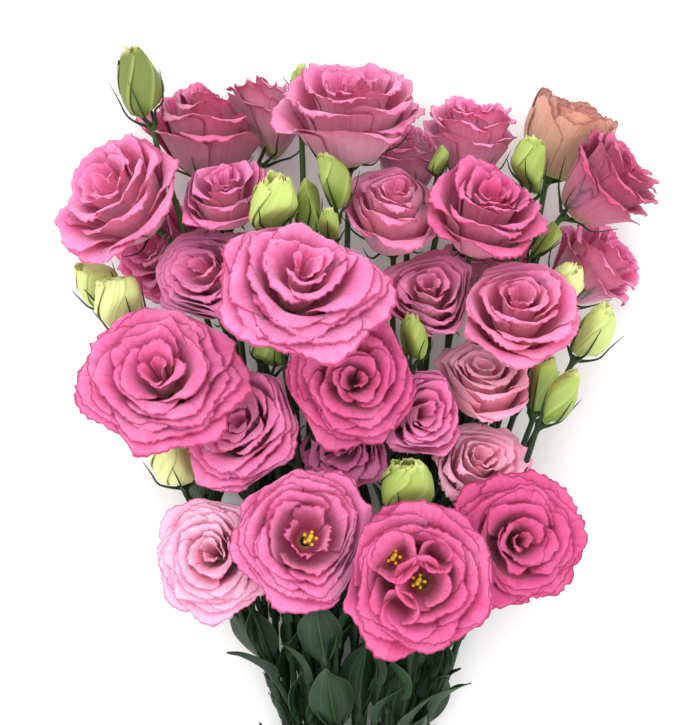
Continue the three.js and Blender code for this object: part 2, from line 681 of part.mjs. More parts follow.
// How far a leaf's outer points are from the stems, the heads, the surface and the other leaves.
function roomOf(leaf, others) {
  let room = Infinity;
  for (const p of leaf.rows.slice(1).flat()) {
    room = Math.min(room, p.z - BLADE);
    for (const bead of chain) {
      const own = bead.route === leaf.route && Math.abs(bead.i - leaf.index) < 3;
      if (!own) room = Math.min(room, bead.p.distanceTo(p) - bead.r);
    }
    for (const head of heads) {
      const q = p.clone().sub(head.middle);
      const rise = q.dot(head.axis);
      const around = Math.sqrt(Math.max(0, q.lengthSq() - rise * rise));
      const share = Math.hypot(around / head.radius, rise / (0.5 * head.depth));
      room = Math.min(room, (share - 1) * 0.5 * Math.min(head.radius, head.depth));
    }
    for (const other of others) {
      for (const q of other.rows.flat()) room = Math.min(room, q.distanceTo(p) - BLADE);
    }
  }
  return room;
}

const stems = new Map(sprays.map((spray) => [spray, stemPieces(spray)]));
const obstacles = [
  ...sprays.flatMap((spray) => stems.get(spray).map((solid) => ({ spray, solid }))),
  ...[...headSolids.values()].map((solid) => ({ spray: 0, solid })),
];
const leaves = [];
function leafAt(route, index, turn, size) {
  const along = route.points[index + 1].clone().sub(route.points[index - 1]).normalize();
  const start = vec(0, 0, 1).cross(along).normalize();
  const cross = along.clone().cross(start);
  const out = start.multiplyScalar(Math.cos(turn)).addScaledVector(cross, Math.sin(turn));
  const usual = THREE.MathUtils.lerp(LEAF_LENGTH, LEAF_UPPER_LENGTH, index / route.points.length);
  const length = usual * size * (0.9 + 0.2 * draw(index, route.spray));
  const root = route.points[index].clone();
  const leaf = { route, index, turn, root, out, along, length };
  leaf.rows = leafRows(leaf);
  leaf.room = roomOf(leaf, leaves);
  return leaf;
}
// Leaves do best where there is room for them, and lie with a face to the light.
function leafMerit({ room, out }) {
  return Math.min(room, 5) + 4 * Math.abs(out.z) + out.z;
}
function stands(leaf) {
  const fat = blade(leaf.rows, BLADE + 2 * GAP);
  const others = obstacles.filter(({ spray }) => spray !== leaf.route.spray);
  return others.every(({ solid }) => fat.intersect(solid).isEmpty());
}
for (const route of routes.filter((r) => !r.parent)) {
  for (const index of LEAF_NODES.filter((k) => k < route.points.length - 8)) {
    let first = null;
    for (let pair = 0; pair < 2; pair++) {
      const turns = [...Array(LEAF_TURNS).keys()]
        .map((k) => (2 * Math.PI * k) / LEAF_TURNS)
        .filter((turn) => first === null || Math.cos(turn - first) < -0.3);
      const tries = LEAF_SIZES.map((size) =>
        turns
          .map((turn) => leafAt(route, index, turn, size))
          .filter((leaf) => leaf.room > LEAF_ROOM && Math.abs(leaf.out.z) > LEAF_FACE)
          .sort((a, b) => leafMerit(b) - leafMerit(a)),
      );
      const leaf = tries.flat().find(stands);
      if (!leaf) break;
      first = leaf.turn;
      leaves.push(leaf);
      obstacles.push({ spray: route.spray, solid: blade(leaf.rows) });
    }
  }
}

function spraySolid(spray) {
  const own = leaves.filter((leaf) => leaf.route.spray === spray).map((leaf) => blade(leaf.rows));
  return largest(wasm.Manifold.union([...stems.get(spray), ...own]));
}

// ---- stamens ---------------------------------------------------------------------------------------
// The two widest blooms show a knot of stamens in their hollow: a stigma with yellow anthers round it.
const STAMEN_COUNT = 5;
const STAMEN_RISE = 11;
const STAMEN_SPREAD = 4.6;
const ANTHER_LENGTH = 2.4;

function stamenSolid(head) {
  const floor = FORMS.open.whorls[2].valley[1] * head.depth + GAP;
  const stigma = [0, 0.7, 1].map((share) => onHead(head, 0, 0, floor + share * STAMEN_RISE));
  const pieces = [bar(stigma, [2.6, 1.1, 1.8], 5)];
  for (let k = 0; k < STAMEN_COUNT; k++) {
    const angle = (2 * Math.PI * k) / STAMEN_COUNT;
    const rise = floor + STAMEN_RISE * (0.72 + 0.25 * draw(head.index, k));
    const tip = onHead(head, STAMEN_SPREAD, angle, rise);
    const foot = onHead(head, 1.2, angle, floor + 1);
    const anther = onHead(head, STAMEN_SPREAD, angle, rise + ANTHER_LENGTH);
    pieces.push(bar([foot, tip, anther], [0.6, 1.3, 0.9], 3));
  }
  return wasm.Manifold.union(pieces);
}

// ---- the band --------------------------------------------------------------------------------------
function bandSolid() {
  const [inner, outer, half] = [BAND_INNER, BAND_INNER + BAND_THICKNESS, BAND_WIDTH / 2];
  const profile = [[inner, -half], [outer, -half], [outer, half], [inner, half], [inner, -half]];
  const points = profile.map(([x, y]) => new THREE.Vector2(x, y));
  const geometry = new THREE.LatheGeometry(points, BAND_SIDES, Math.PI / BAND_SIDES);
  geometry.translate(BAND_X, BAND_Y, BAND_Z);
  return solidOfGeometry(geometry);
}

// ---- the assembly ----------------------------------------------------------------------------------
function meshOf(name, solid, material) {
  const { vertProperties, triVerts, numProp } = solid.getMesh();
  const geometry = new THREE.BufferGeometry();
  geometry.setAttribute("position", new THREE.BufferAttribute(vertProperties, numProp));
  geometry.setIndex(new THREE.BufferAttribute(triVerts, 1));
  const mesh = new THREE.Mesh(geometry, material);
  mesh.name = name;
  return mesh;
}

const paint = (color, roughness) => new THREE.MeshStandardMaterial({ color, roughness, metalness: 0 });
const ROSE = paint(0xd85a8c, 0.6);
const PALE_ROSE = paint(0xec92ab, 0.6);
const PEACH = paint(0xd9a48c, 0.6);
const BUD_GREEN = paint(0xb4c46a, 0.55);
const STEM_GREEN = paint(0x2f4f2f, 0.6);
const RUBBER = paint(0xb9a58a, 0.8);
const YELLOW = paint(0xd8b23a, 0.6);
const TINTS = { bloom_05: PEACH, bloom_20: PALE_ROSE, bloom_21: PALE_ROSE, bloom_22: PALE_ROSE };

const bouquet = new THREE.Group();
for (const spray of sprays) {
  bouquet.add(meshOf(`spray_${String(spray).padStart(2, "0")}`, spraySolid(spray), STEM_GREEN));
}
for (const [head, solid] of headSolids) {
  bouquet.add(meshOf(head.name, solid, isBloom(head) ? TINTS[head.name] || ROSE : BUD_GREEN));
  if (head.form === "open") {
    bouquet.add(meshOf(head.name.replace("bloom", "stamens"), stamenSolid(head), YELLOW));
  }
}
bouquet.add(meshOf("band", bandSolid(), RUBBER));

// The bunch stands with the middle of its length and width over the origin, and rests at height zero.
const box = new THREE.Box3().setFromObject(bouquet);
const middle = box.getCenter(vec(0, 0, 0));
for (const { geometry } of bouquet.children) geometry.translate(-middle.x, -middle.y, -box.min.z);

export default bouquet;
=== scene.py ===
import json
import math
import bpy
import numpy as np
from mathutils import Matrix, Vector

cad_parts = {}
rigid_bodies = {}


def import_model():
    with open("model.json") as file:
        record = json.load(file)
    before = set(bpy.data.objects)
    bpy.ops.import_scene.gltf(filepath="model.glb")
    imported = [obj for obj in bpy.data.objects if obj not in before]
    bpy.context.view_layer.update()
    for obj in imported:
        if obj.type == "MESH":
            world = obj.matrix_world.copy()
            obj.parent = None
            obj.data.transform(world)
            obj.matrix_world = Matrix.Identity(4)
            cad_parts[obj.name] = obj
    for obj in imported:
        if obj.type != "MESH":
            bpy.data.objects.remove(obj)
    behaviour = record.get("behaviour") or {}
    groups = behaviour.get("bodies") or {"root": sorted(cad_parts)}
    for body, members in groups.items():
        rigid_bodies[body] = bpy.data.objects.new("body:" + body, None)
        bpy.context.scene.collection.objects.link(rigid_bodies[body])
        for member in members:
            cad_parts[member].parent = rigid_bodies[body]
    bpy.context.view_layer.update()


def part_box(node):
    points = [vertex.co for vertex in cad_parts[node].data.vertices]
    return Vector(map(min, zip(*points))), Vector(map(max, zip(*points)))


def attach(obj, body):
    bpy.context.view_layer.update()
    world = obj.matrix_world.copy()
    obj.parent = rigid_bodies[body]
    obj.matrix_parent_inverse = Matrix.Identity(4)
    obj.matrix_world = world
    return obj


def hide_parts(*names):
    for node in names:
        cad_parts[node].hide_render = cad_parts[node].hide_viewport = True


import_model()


# ---- The stems -------------------------------------------------------------------------------
# Thirteen cut stems of a garden plant: round, smooth, dark green with a thin bloom of wax, swollen a little
# at each pair of leaves. High up each forks into one stalk for every head it carries, and a stalk flares
# into the small cup that holds its flower. The stems are gathered by hand and cut off level at the foot.
# name: spray, middle of the head, way it faces, radius, depth, form (millimetres)
HEADS = {
    "bloom_01": (1, (-73, 297, 36), (0.0, 0.95, 0.3), 35, 46, "full"),
    "bloom_02": (2, (-44, 303, 26), (0.15, 0.97, -0.05), 24, 40, "small"),
    "bloom_03": (2, (-3, 301, 68), (0.0, 0.9, 0.42), 37, 46, "full"),
    "bloom_04": (3, (58, 292, 44), (0.1, 0.95, 0.25), 25, 38, "full"),
    "bloom_05": (4, (106, 293, 34), (0.38, 0.9, 0.2), 23, 38, "cup"),
    "bloom_06": (4, (123, 269, 60), (0.75, 0.6, 0.25), 26, 43, "full"),
    "bloom_07": (5, (118, 228, 25), (0.72, 0.6, 0.3), 24, 41, "small"),
    "bloom_08": (1, (-115, 261, 60), (-0.6, 0.5, 0.6), 35, 40, "full"),
    "bloom_09": (6, (-92, 235, 27), (-0.65, 0.35, 0.65), 27, 38, "full"),
    "bloom_10": (6, (-69, 224, 68), (-0.45, 0.4, 0.8), 30, 40, "full"),
    "bloom_11": (7, (-28, 218, 113), (0.15, 0.5, 0.85), 41, 42, "full"),
    "bloom_12": (8, (-94, 173, 88), (-0.12, 0.42, 0.9), 39, 40, "full"),
    "bloom_13": (8, (-54, 147, 76), (-0.45, 0.3, 0.84), 33, 42, "full"),
    "bloom_14": (11, (0, 173, 88), (0.05, 0.1, 1.0), 33, 40, "full"),
    "bloom_15": (11, (30, 156, 76), (0.2, 0.1, 0.97), 25, 36, "small"),
    "bloom_16": (9, (38, 213, 68), (0.0, 0.45, 0.9), 27, 36, "small"),
    "bloom_17": (9, (20, 255, 70), (0.03, 0.8, 0.6), 31, 43, "full"),
    "bloom_18": (9, (63, 254, 78), (0.2, 0.7, 0.68), 32, 43, "full"),
    "bloom_19": (10, (81, 204, 76), (0.1, 0.6, 0.79), 31, 40, "full"),
    "bloom_20": (10, (66, 170, 62), (0.0, 0.7, 0.7), 28, 38, "small"),
    "bloom_21": (12, (60, 128, 60), (0.3, 0.45, 0.84), 26, 38, "small"),
    "bloom_22": (13, (-69, 85, 76), (-0.2, 0.1, 0.97), 29, 38, "full"),
    "bloom_23": (13, (-23, 94, 94), (0.1, 0.1, 0.99), 35, 40, "open"),
    "bloom_24": (12, (79, 93, 82), (0.15, 0.05, 0.98), 33, 38, "full"),
    "bloom_25": (12, (31, 74, 102), (0.0, 0.0, 1.0), 36, 42, "open"),
    "bloom_26": (6, (-66, 261, 70), (-0.1, 0.75, 0.65), 24, 34, "small"),
    "bloom_27": (11, (-4, 139, 56), (-0.2, 0.0, 0.98), 22, 34, "small"),
    "bloom_28": (5, (69, 231, 26), (0.15, 0.95, 0.2), 23, 36, "small"),
    "bloom_29": (3, (28, 283, 32), (0.05, 0.97, 0.2), 21, 34, "small"),
    "bud_01": (1, (-108, 321, 52), (-0.28, 0.95, 0.1), 10.5, 38, "bud"),
    "bud_02": (7, (-39, 258, 96), (-0.02, 0.95, 0.3), 13, 32, "bud"),
    "bud_03": (7, (-21, 259, 84), (0.12, 0.95, 0.2), 10.5, 32, "bud"),
    "bud_04": (2, (-12, 270, 90), (-0.1, 0.95, 0.25), 10.5, 36, "bud"),
    "bud_05": (3, (87, 279, 64), (0.1, 0.98, 0.1), 11.5, 31, "bud"),
    "bud_06": (6, (-117, 213, 64), (-0.35, 0.85, 0.4), 13, 32, "bud"),
    "bud_07": (6, (-130, 222, 46), (-0.5, 0.8, 0.3), 10, 27, "bud"),
    "bud_08": (8, (-89, 134, 58), (-0.2, 0.88, 0.4), 13, 29, "bud"),
    "bud_09": (8, (-43, 189, 72), (0.0, 0.95, 0.3), 8, 28, "bud"),
    "bud_10": (9, (28, 192, 84), (0.1, 0.95, 0.3), 8, 28, "bud"),
    "bud_11": (11, (26, 121, 88), (0.0, 0.8, 0.6), 13, 30, "bud"),
    "bud_12": (10, (101, 165, 70), (0.5, 0.85, 0.15), 9, 30, "bud"),
    "bud_13": (10, (92, 172, 56), (0.15, 0.95, 0.2), 10.5, 30, "bud"),
    "bud_14": (5, (119, 198, 56), (0.5, 0.85, 0.1), 10.5, 30, "bud"),
    "bud_15": (5, (103, 219, 56), (0.3, 0.9, 0.3), 12, 27, "bud"),
    "young_01": (2, (-27, 320, 40), (0.0, 1.0, 0.1), 6, 22, "young"),
    "young_02": (7, (-14, 248, 98), (0.1, 0.9, 0.4), 7, 22, "young"),
    "young_03": (3, (42, 279, 66), (0.1, 0.97, 0.2), 7, 24, "young"),
    "young_04": (4, (96, 242, 58), (0.5, 0.85, 0.1), 6, 26, "young"),
}
# spray: its ring and angle in degrees inside the band, and the head it runs up to
SPRAYS = {
    1: (1, 240, "bud_01"),
    2: (0, 0, "bloom_02"),
    3: (2, 270, "bud_05"),
    4: (1, 300, "bloom_05"),
    5: (2, 330, "bloom_07"),
    6: (2, 210, "bud_07"),
    7: (1, 120, "bud_02"),
    8: (1, 180, "bloom_12"),
    9: (1, 60, "bloom_18"),
    10: (1, 0, "bloom_19"),
    11: (2, 90, "bloom_14"),
    12: (2, 30, "bloom_21"),
    13: (2, 150, "bloom_22"),
}
STEM_RADIUS = 2.6
PEDICEL_RADIUS = 1.5
RING_PITCH = 6.2
BAND_X = 6.0
BAND_Y = -100.0
BAND_THICKNESS = 1.6
BAND_OUTER = RING_PITCH * math.sqrt(3) + STEM_RADIUS + 0.5 + BAND_THICKNESS
BAND_Z = BAND_OUTER * math.cos(math.pi / 16)
BAND_EXIT_Y = -78.0
ROUTE_STEP = 7.0
FORK_SHARE = 0.22
GAP = 0.3
CROWDED = 18.0  # heads no further apart than this may press each other
PRESSED = 8.0  # and where less than this is free between them, they do
EASE_ROUNDS = 160
STALK_ROOM = 3.4  # between the sides of two stalks
HEAD_CORE = 0.82  # the share of a head that stalks are kept out of

# The layout above has the fan's own middle at x = 0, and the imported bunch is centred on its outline.
band_low, band_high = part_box("band")
shift = 500 * np.array(band_low + band_high) - (BAND_X, BAND_Y, BAND_Z)


def draw(a, b):
    """A repeatable draw from 0 to 1 for any two numbers, or for arrays of them."""
    x = np.sin(a * 127.1 + b * 311.7) * 43758.5453
    return x - np.floor(x)


def unit(v):
    return v / np.linalg.norm(v)


heads = {}
for index, (name, (spray, at, facing, radius, depth, form)) in enumerate(HEADS.items()):
    axis = unit(np.array(facing, float))
    u = np.cross((0, 1, 0), axis)
    if np.linalg.norm(u) < 0.2:
        u = np.cross((1, 0, 0), axis)
    u = unit(u)
    middle = np.array(at, float)
    heads[name] = {
        "name": name,
        "index": index,
        "spray": spray,
        "axis": axis,
        "u": u,
        "v": np.cross(axis, u),
        "middle": middle,
        "base": middle - axis * depth / 2,
        "radius": radius,
        "depth": depth,
        "form": form,
        "walls": [(np.array((0.0, 0.0, -1.0)), 0.55)],
    }


def on_head(head, rho, angle, rise):
    """Points of a head's own frame: rho from its axis, at an angle, and rise above its base."""
    rho, angle, rise = np.broadcast_arrays(rho, angle, rise)
    return (
        head["base"]
        + (rho * np.cos(angle))[..., None] * head["u"]
        + (rho * np.sin(angle))[..., None] * head["v"]
        + rise[..., None] * head["axis"]
    )


def reach(head, n):
    along = n @ head["axis"]
    return math.hypot(head["radius"] * math.sqrt(max(0, 1 - along**2)), 0.5 * head["depth"] * along)


def furthest(head, n):
    flat, deep = head["radius"] ** 2, (0.5 * head["depth"]) ** 2
    return (n * flat + head["axis"] * (deep - flat) * (n @ head["axis"])) / reach(head, n)


# Crowded heads press each other flat where they meet, so each has walls that it stays inside.
for a in heads.values():
    for b in heads.values():
        d = b["middle"] - a["middle"]
        if a is b or np.linalg.norm(d) > a["radius"] + b["radius"] + CROWDED:
            continue
        n = unit(d)
        for _ in range(30):
            n = unit(n + (d - furthest(a, n) - furthest(b, n)) * 0.3 / np.linalg.norm(d))
        reach_a, reach_b = reach(a, n), reach(b, n)
        free = n @ d - reach_a - reach_b
        if free < PRESSED:
            a["walls"].append((n, n @ a["middle"] + reach_a + free * reach_a / (reach_a + reach_b)))


def press(head, points, margin, softness=5.0):
    """Points moved softly back inside a head's walls."""
    for _ in range(3):
        for n, c in head["walls"]:
            inside = c - margin - points @ n
            move = inside - softness * np.exp(np.minimum(inside, softness) / softness - 1)
            points = points + np.where(inside < softness, move, 0)[..., None] * n
    return points


def band_place(spray):
    ring, degrees = SPRAYS[spray][:2]
    out = (0, RING_PITCH, RING_PITCH * math.sqrt(3))[ring]
    angle = math.radians(degrees)
    return np.array((BAND_X + out * math.cos(angle), BAND_Y, BAND_Z + out * math.sin(angle)))


def smooth_run(start, start_way, end, end_way):
    """Points a step apart on a smooth curve that leaves and arrives in the given directions."""
    gap = np.linalg.norm(end - start)
    handles = np.array((start, start + start_way * gap / 3, end - end_way * gap / 3, end))

    def curve(t):
        return np.stack(((1 - t) ** 3, 3 * t * (1 - t) ** 2, 3 * t * t * (1 - t), t**3), axis=1) @ handles

    t = np.linspace(0, 1, 201)
    lengths = np.concatenate(([0], np.cumsum(np.linalg.norm(np.diff(curve(t), axis=0), axis=1))))
    steps = max(3, int(gap / ROUTE_STEP + 0.5))
    return curve(np.interp(np.linspace(0, lengths[-1], steps + 1), lengths, t))


stalks = []
for spray, (_, _, lead_name) in SPRAYS.items():
    lead = heads[lead_name]
    others = [h for h in heads.values() if h["spray"] == spray and h is not lead]
    others.sort(key=lambda h: h["base"][1])
    start = band_place(spray)
    start[1] = BAND_EXIT_Y
    main = {"spray": spray, "head": lead, "parent": None, "index": 0}
    main["points"] = smooth_run(start, unit(lead["base"] - start), lead["base"], lead["axis"])
    stalks.append(main)
    lowest = min(lead["base"][1], others[0]["base"][1])
    fork_y = BAND_EXIT_Y + (lowest - BAND_EXIT_Y) * FORK_SHARE
    fork = int(np.argmax(main["points"][:, 1] > fork_y))
    for k, head in enumerate(others):
        index = min(fork + 2 * k, len(main["points"]) - 5)
        origin = main["points"][index]
        way = unit(unit(head["base"] - origin) + (0, 0.8, 0))
        points = smooth_run(origin, way, head["base"], head["axis"])
        stalks.append({"spray": spray, "head": head, "parent": main, "index": index, "points": points})
for stalk in stalks:
    share = np.linspace(0, 1, len(stalk["points"]))
    if stalk["parent"]:
        stalk["radii"] = PEDICEL_RADIUS + 0.3 * (1 - share)
    else:
        stalk["radii"] = STEM_RADIUS + (PEDICEL_RADIUS - STEM_RADIUS) * np.minimum(1, share * 1.25)


def ease_stalks():
    """Lets every stalk find its way round the heads and the other stalks."""
    P = np.concatenate([s["points"] for s in stalks])
    R = np.concatenate([s["radii"] for s in stalks])
    count = [len(s["points"]) for s in stalks]
    first = np.concatenate(([0], np.cumsum(count)[:-1]))
    owner = np.repeat(np.arange(len(stalks)), count)
    place = np.concatenate([np.arange(c) for c in count])
    last = np.array(count)[owner] - 1
    spray = np.array([s["spray"] for s in stalks])[owner]
    free = (place >= 1) & (place <= last - 2)
    near_root = place < 5
    kin = spray[:, None] == spray[None, :]
    meets = owner[:, None] != owner[None, :]
    meets &= ~(kin & (near_root[:, None] | near_root[None, :]))
    space = R[:, None] + R[None, :] + STALK_ROOM
    own_end = place > last - 4
    before, after = np.maximum(np.arange(len(P)) - 1, 0), np.minimum(np.arange(len(P)) + 1, len(P) - 1)
    for _ in range(EASE_ROUNDS):
        move = ((P[before] + P[after]) / 2 - P) * 0.35
        for head in heads.values():
            q = P - head["middle"]
            along = q @ head["axis"]
            around = np.sqrt(np.maximum(0, (q**2).sum(1) - along**2))
            share = np.hypot(
                around / (head["radius"] * HEAD_CORE + R + 1),
                along / (0.5 * head["depth"] * HEAD_CORE + R + 1),
            )
            own = own_end & np.array([s["head"] is head for s in stalks])[owner]
            push = 0.5 * np.minimum(1 / np.maximum(share, 0.2) - 1, 0.4)
            move += q * np.where((share < 1) & ~own, push, 0)[:, None]
        apart = P[:, None, :] - P[None, :, :]
        square = (apart**2).sum(2)
        close = meets & (square < space**2) & (square >= 1e-6)
        i, j = np.nonzero(close)
        far = np.sqrt(square[i, j])
        np.add.at(move, i, apart[i, j] * (0.5 * (space[i, j] - far) / far)[:, None])
        P = P + np.where(free[:, None], move, 0)
        P[:, 2] = np.maximum(P[:, 2], R + 0.8)
        for k, stalk in enumerate(stalks):
            if stalk["parent"]:
                parent = next(n for n, s in enumerate(stalks) if s is stalk["parent"])
                P[first[k]] = P[first[parent] + stalk["index"]]
    for k, stalk in enumerate(stalks):
        stalk["points"] = P[first[k] : first[k] + count[k]]


ease_stalks()


def refined(rows, times):
    """A smooth curve through rows of numbers, with several points for each one given."""
    padded = np.concatenate(([2 * rows[0] - rows[1]], rows, [2 * rows[-1] - rows[-2]]))
    p0, p1, p2, p3 = padded[:-3], padded[1:-2], padded[2:-1], padded[3:]
    t = (np.arange(times) / times)[None, :, None]
    p0, p1, p2, p3 = (p[:, None, :] for p in (p0, p1, p2, p3))
    curve = 0.5 * (
        2 * p1 + (p2 - p0) * t + (2 * p0 - 5 * p1 + 4 * p2 - p3) * t**2 + (3 * p1 - p0 - 3 * p2 + p3) * t**3
    )
    return np.concatenate((curve.reshape(-1, rows.shape[1]), rows[-1:]))


def tube(path, radii, sides):
    """A closed round bar along a path: points, four-sided faces and the triangles of its ends."""
    along = np.gradient(path, axis=0)
    along /= np.linalg.norm(along, axis=1)[:, None]
    side = np.empty_like(path)
    guess = np.array((0.0, 0.0, 1.0)) if abs(along[0, 2]) < 0.9 else np.array((1.0, 0.0, 0.0))
    for k, way in enumerate(along):
        guess = unit(guess - way * (guess @ way))
        side[k] = guess
    other = np.cross(along, side)
    turn = 2 * np.pi * np.arange(sides) / sides
    ring = np.cos(turn)[None, :, None] * side[:, None, :] + np.sin(turn)[None, :, None] * other[:, None, :]
    points = path[:, None, :] + ring * np.asarray(radii)[:, None, None]
    count = len(path)
    grid = np.arange(count * sides).reshape(count, sides)
    nextwise = np.roll(grid, -1, axis=1)
    quads = np.stack((grid[:-1], nextwise[:-1], nextwise[1:], grid[1:]), axis=-1).reshape(-1, 4)
    foot, tip = count * sides, count * sides + 1
    ends = [np.stack((nextwise[0], grid[0], np.full(sides, foot)), axis=1)]
    ends.append(np.stack((grid[-1], nextwise[-1], np.full(sides, tip)), axis=1))
    points = np.concatenate((points.reshape(-1, 3), path[:1], path[-1:]))
    return points, quads, np.concatenate(ends)


def joined(parts):
    """Several sets of points, quads, triangles and marks as one set."""
    points, quads, triangles, marks, start = [], [], [], {}, 0
    for part in parts:
        points.append(part[0])
        quads.append(part[1] + start)
        triangles.append(part[2] + start)
        for key, values in part[3].items():
            marks.setdefault(key, []).append(np.broadcast_to(values, len(part[0])))
        start += len(part[0])
    marks = {key: np.concatenate(values) for key, values in marks.items()}
    return np.concatenate(points), np.concatenate(quads), np.concatenate(triangles), marks


NO_TRIANGLES = np.empty((0, 3), int)
SHARP_ANGLE = math.radians(70)


def plant_piece(name, parts, material, nodes):
    """Makes one piece of the bunch from its parts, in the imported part's place and in metres."""
    points, quads, triangles, marks = joined(parts)
    points = (points + shift) / 1000
    points[:, 2] = np.maximum(points[:, 2], 0.00002)
    mesh = bpy.data.meshes.new(name)
    mesh.vertices.add(len(points))
    mesh.vertices.foreach_set("co", points.ravel().astype(np.float32))
    corners = np.concatenate((quads.ravel(), triangles.ravel()))
    totals = np.concatenate((np.full(len(quads), 4), np.full(len(triangles), 3)))
    mesh.loops.add(len(corners))
    mesh.loops.foreach_set("vertex_index", corners.astype(np.int32))
    mesh.polygons.add(len(totals))
    starts = np.concatenate(([0], np.cumsum(totals)[:-1]))
    mesh.polygons.foreach_set("loop_start", starts.astype(np.int32))
    mesh.polygons.foreach_set("loop_total", totals.astype(np.int32))
    mesh.update(calc_edges=True)
    mesh.polygons.foreach_set("use_smooth", np.ones(len(totals), bool))
    mesh.set_sharp_from_angle(angle=SHARP_ANGLE)
    for key, values in marks.items():
        attribute = mesh.attributes.new(key, "FLOAT", "POINT")
        attribute.data.foreach_set("value", values.astype(np.float32))
    mesh.materials.append(material)
    piece = bpy.data.objects.new(name, mesh)
    bpy.context.scene.collection.objects.link(piece)
    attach(piece, "root")
    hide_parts(*nodes)


class Finish:
    """A material and the nodes that colour it."""

    def __init__(self, name, roughness, specular=0.5):
        self.material = bpy.data.materials.new(name)
        self.material.use_nodes = True
        self.tree = self.material.node_tree
        self.shader = self.tree.nodes["Principled BSDF"]
        self.shader.inputs["Roughness"].default_value = roughness
        self.shader.inputs["Specular IOR Level"].default_value = specular

    def node(self, kind, **settings):
        made = self.tree.nodes.new("ShaderNode" + kind)
        for key, value in settings.items():
            setattr(made, key, value)
        return made

    def plug(self, socket, value):
        if isinstance(value, bpy.types.NodeSocket):
            self.tree.links.new(value, socket)
        elif isinstance(value, (tuple, list)) and len(value) == 3 and socket.type == "RGBA":
            socket.default_value = (*value, 1)
        else:
            socket.default_value = value

    def mark(self, name):
        return self.node("Attribute", attribute_name=name).outputs["Fac"]

    def sums(self, operation, a, b=0.0):
        made = self.node("Math", operation=operation)
        self.plug(made.inputs[0], a)
        self.plug(made.inputs[1], b)
        return made.outputs[0]

    def between(self, value, low, high, to_low=0.0, to_high=1.0):
        """A number that goes smoothly from to_low to to_high as value goes from low to high."""
        made = self.node("MapRange", interpolation_type="SMOOTHSTEP")
        for socket, given in zip(made.inputs[:5], (value, low, high, to_low, to_high)):
            self.plug(socket, given)
        return made.outputs[0]

    def mix(self, share, a, b, blend="MIX"):
        made = self.node("Mix", data_type="RGBA", blend_type=blend)
        for socket, given in zip((made.inputs[0], made.inputs[6], made.inputs[7]), (share, a, b)):
            self.plug(socket, given)
        return made.outputs[2]

    def noise(self, scale, detail=3.0, vector=None, roughness=0.5):
        made = self.node("TexNoise")
        if vector is None:
            vector = self.node("TexCoord").outputs["Object"]
        self.plug(made.inputs["Vector"], vector)
        made.inputs["Scale"].default_value = scale
        made.inputs["Detail"].default_value = detail
        made.inputs["Roughness"].default_value = roughness
        return made.outputs["Fac"]

    def spread(self, x, y, z):
        made = self.node("CombineXYZ")
        for socket, given in zip(made.inputs, (x, y, z)):
            self.plug(socket, given)
        return made.outputs[0]

    def drawn_noise(self, across, along, shift, detail, roughness=0.6):
        """Noise drawn out along a piece. Across and along each give a mark and how often it changes by it."""
        place = self.spread(self.sums("MULTIPLY", *across), self.sums("MULTIPLY", *along), shift)
        return self.noise(1.0, detail, place, roughness)

    def bump(self, height, strength, distance):
        made = self.node("Bump")
        made.inputs["Strength"].default_value = strength
        made.inputs["Distance"].default_value = distance
        self.plug(made.inputs["Height"], height)
        self.plug(self.shader.inputs["Normal"], made.outputs[0])

    def laid(self, ground, *layers):
        """A ground colour with others laid over it in turn, each by its own share."""
        for share, colour in layers:
            ground = self.mix(share, ground, colour)
        return ground

    def paint(self, ground, *layers):
        self.plug(self.shader.inputs["Base Color"], self.laid(ground, *layers))


def tone(red, green, blue):
    """A colour as seen on a swatch, 0 to 255, as the light that it reflects."""
    seen = np.array((red, green, blue)) / 255
    return tuple(float(x) for x in np.where(seen <= 0.04045, seen / 12.92, ((seen + 0.055) / 1.055) ** 2.4))


stem_finish = Finish("stem_green", 0.5, 0.2)
length_wise = stem_finish.mark("along")
around_wise = stem_finish.mark("around")
streak = stem_finish.drawn_noise((around_wise, 9), (length_wise, 0.35), 0.0, 4.0, 0.5)
patch = stem_finish.noise(60.0, 3.0)
stem_finish.paint(
    tone(17, 36, 20),
    (stem_finish.between(streak, 0.3, 0.7), tone(38, 60, 33)),
    (stem_finish.between(patch, 0.35, 0.75, 0.0, 0.6), tone(26, 46, 31)),
    (stem_finish.between(stem_finish.mark("height"), 0.2, 1.0, 0.0, 0.6), tone(78, 112, 56)),
    (stem_finish.mark("pith"), tone(196, 206, 150)),
)
stem_finish.bump(streak, 0.25, 0.0004)

NODE_PLACES = (6, 11, 16, 22, 28)  # how far up each stem its pairs of leaves stand, in route points
CALYX_RADIUS = 3.6
CALYX_DEPTH = 6.0
FOOT_Y = -215
FOOT_RAGGED = 16  # how far the cut ends differ in length
FOOT_SPREAD = 2.6  # how much wider the bunch is at the cut ends than in the band
STALK_SIDES = 10
SEPAL_RADII = (0.7, 0.55, 0.4, 0.15)


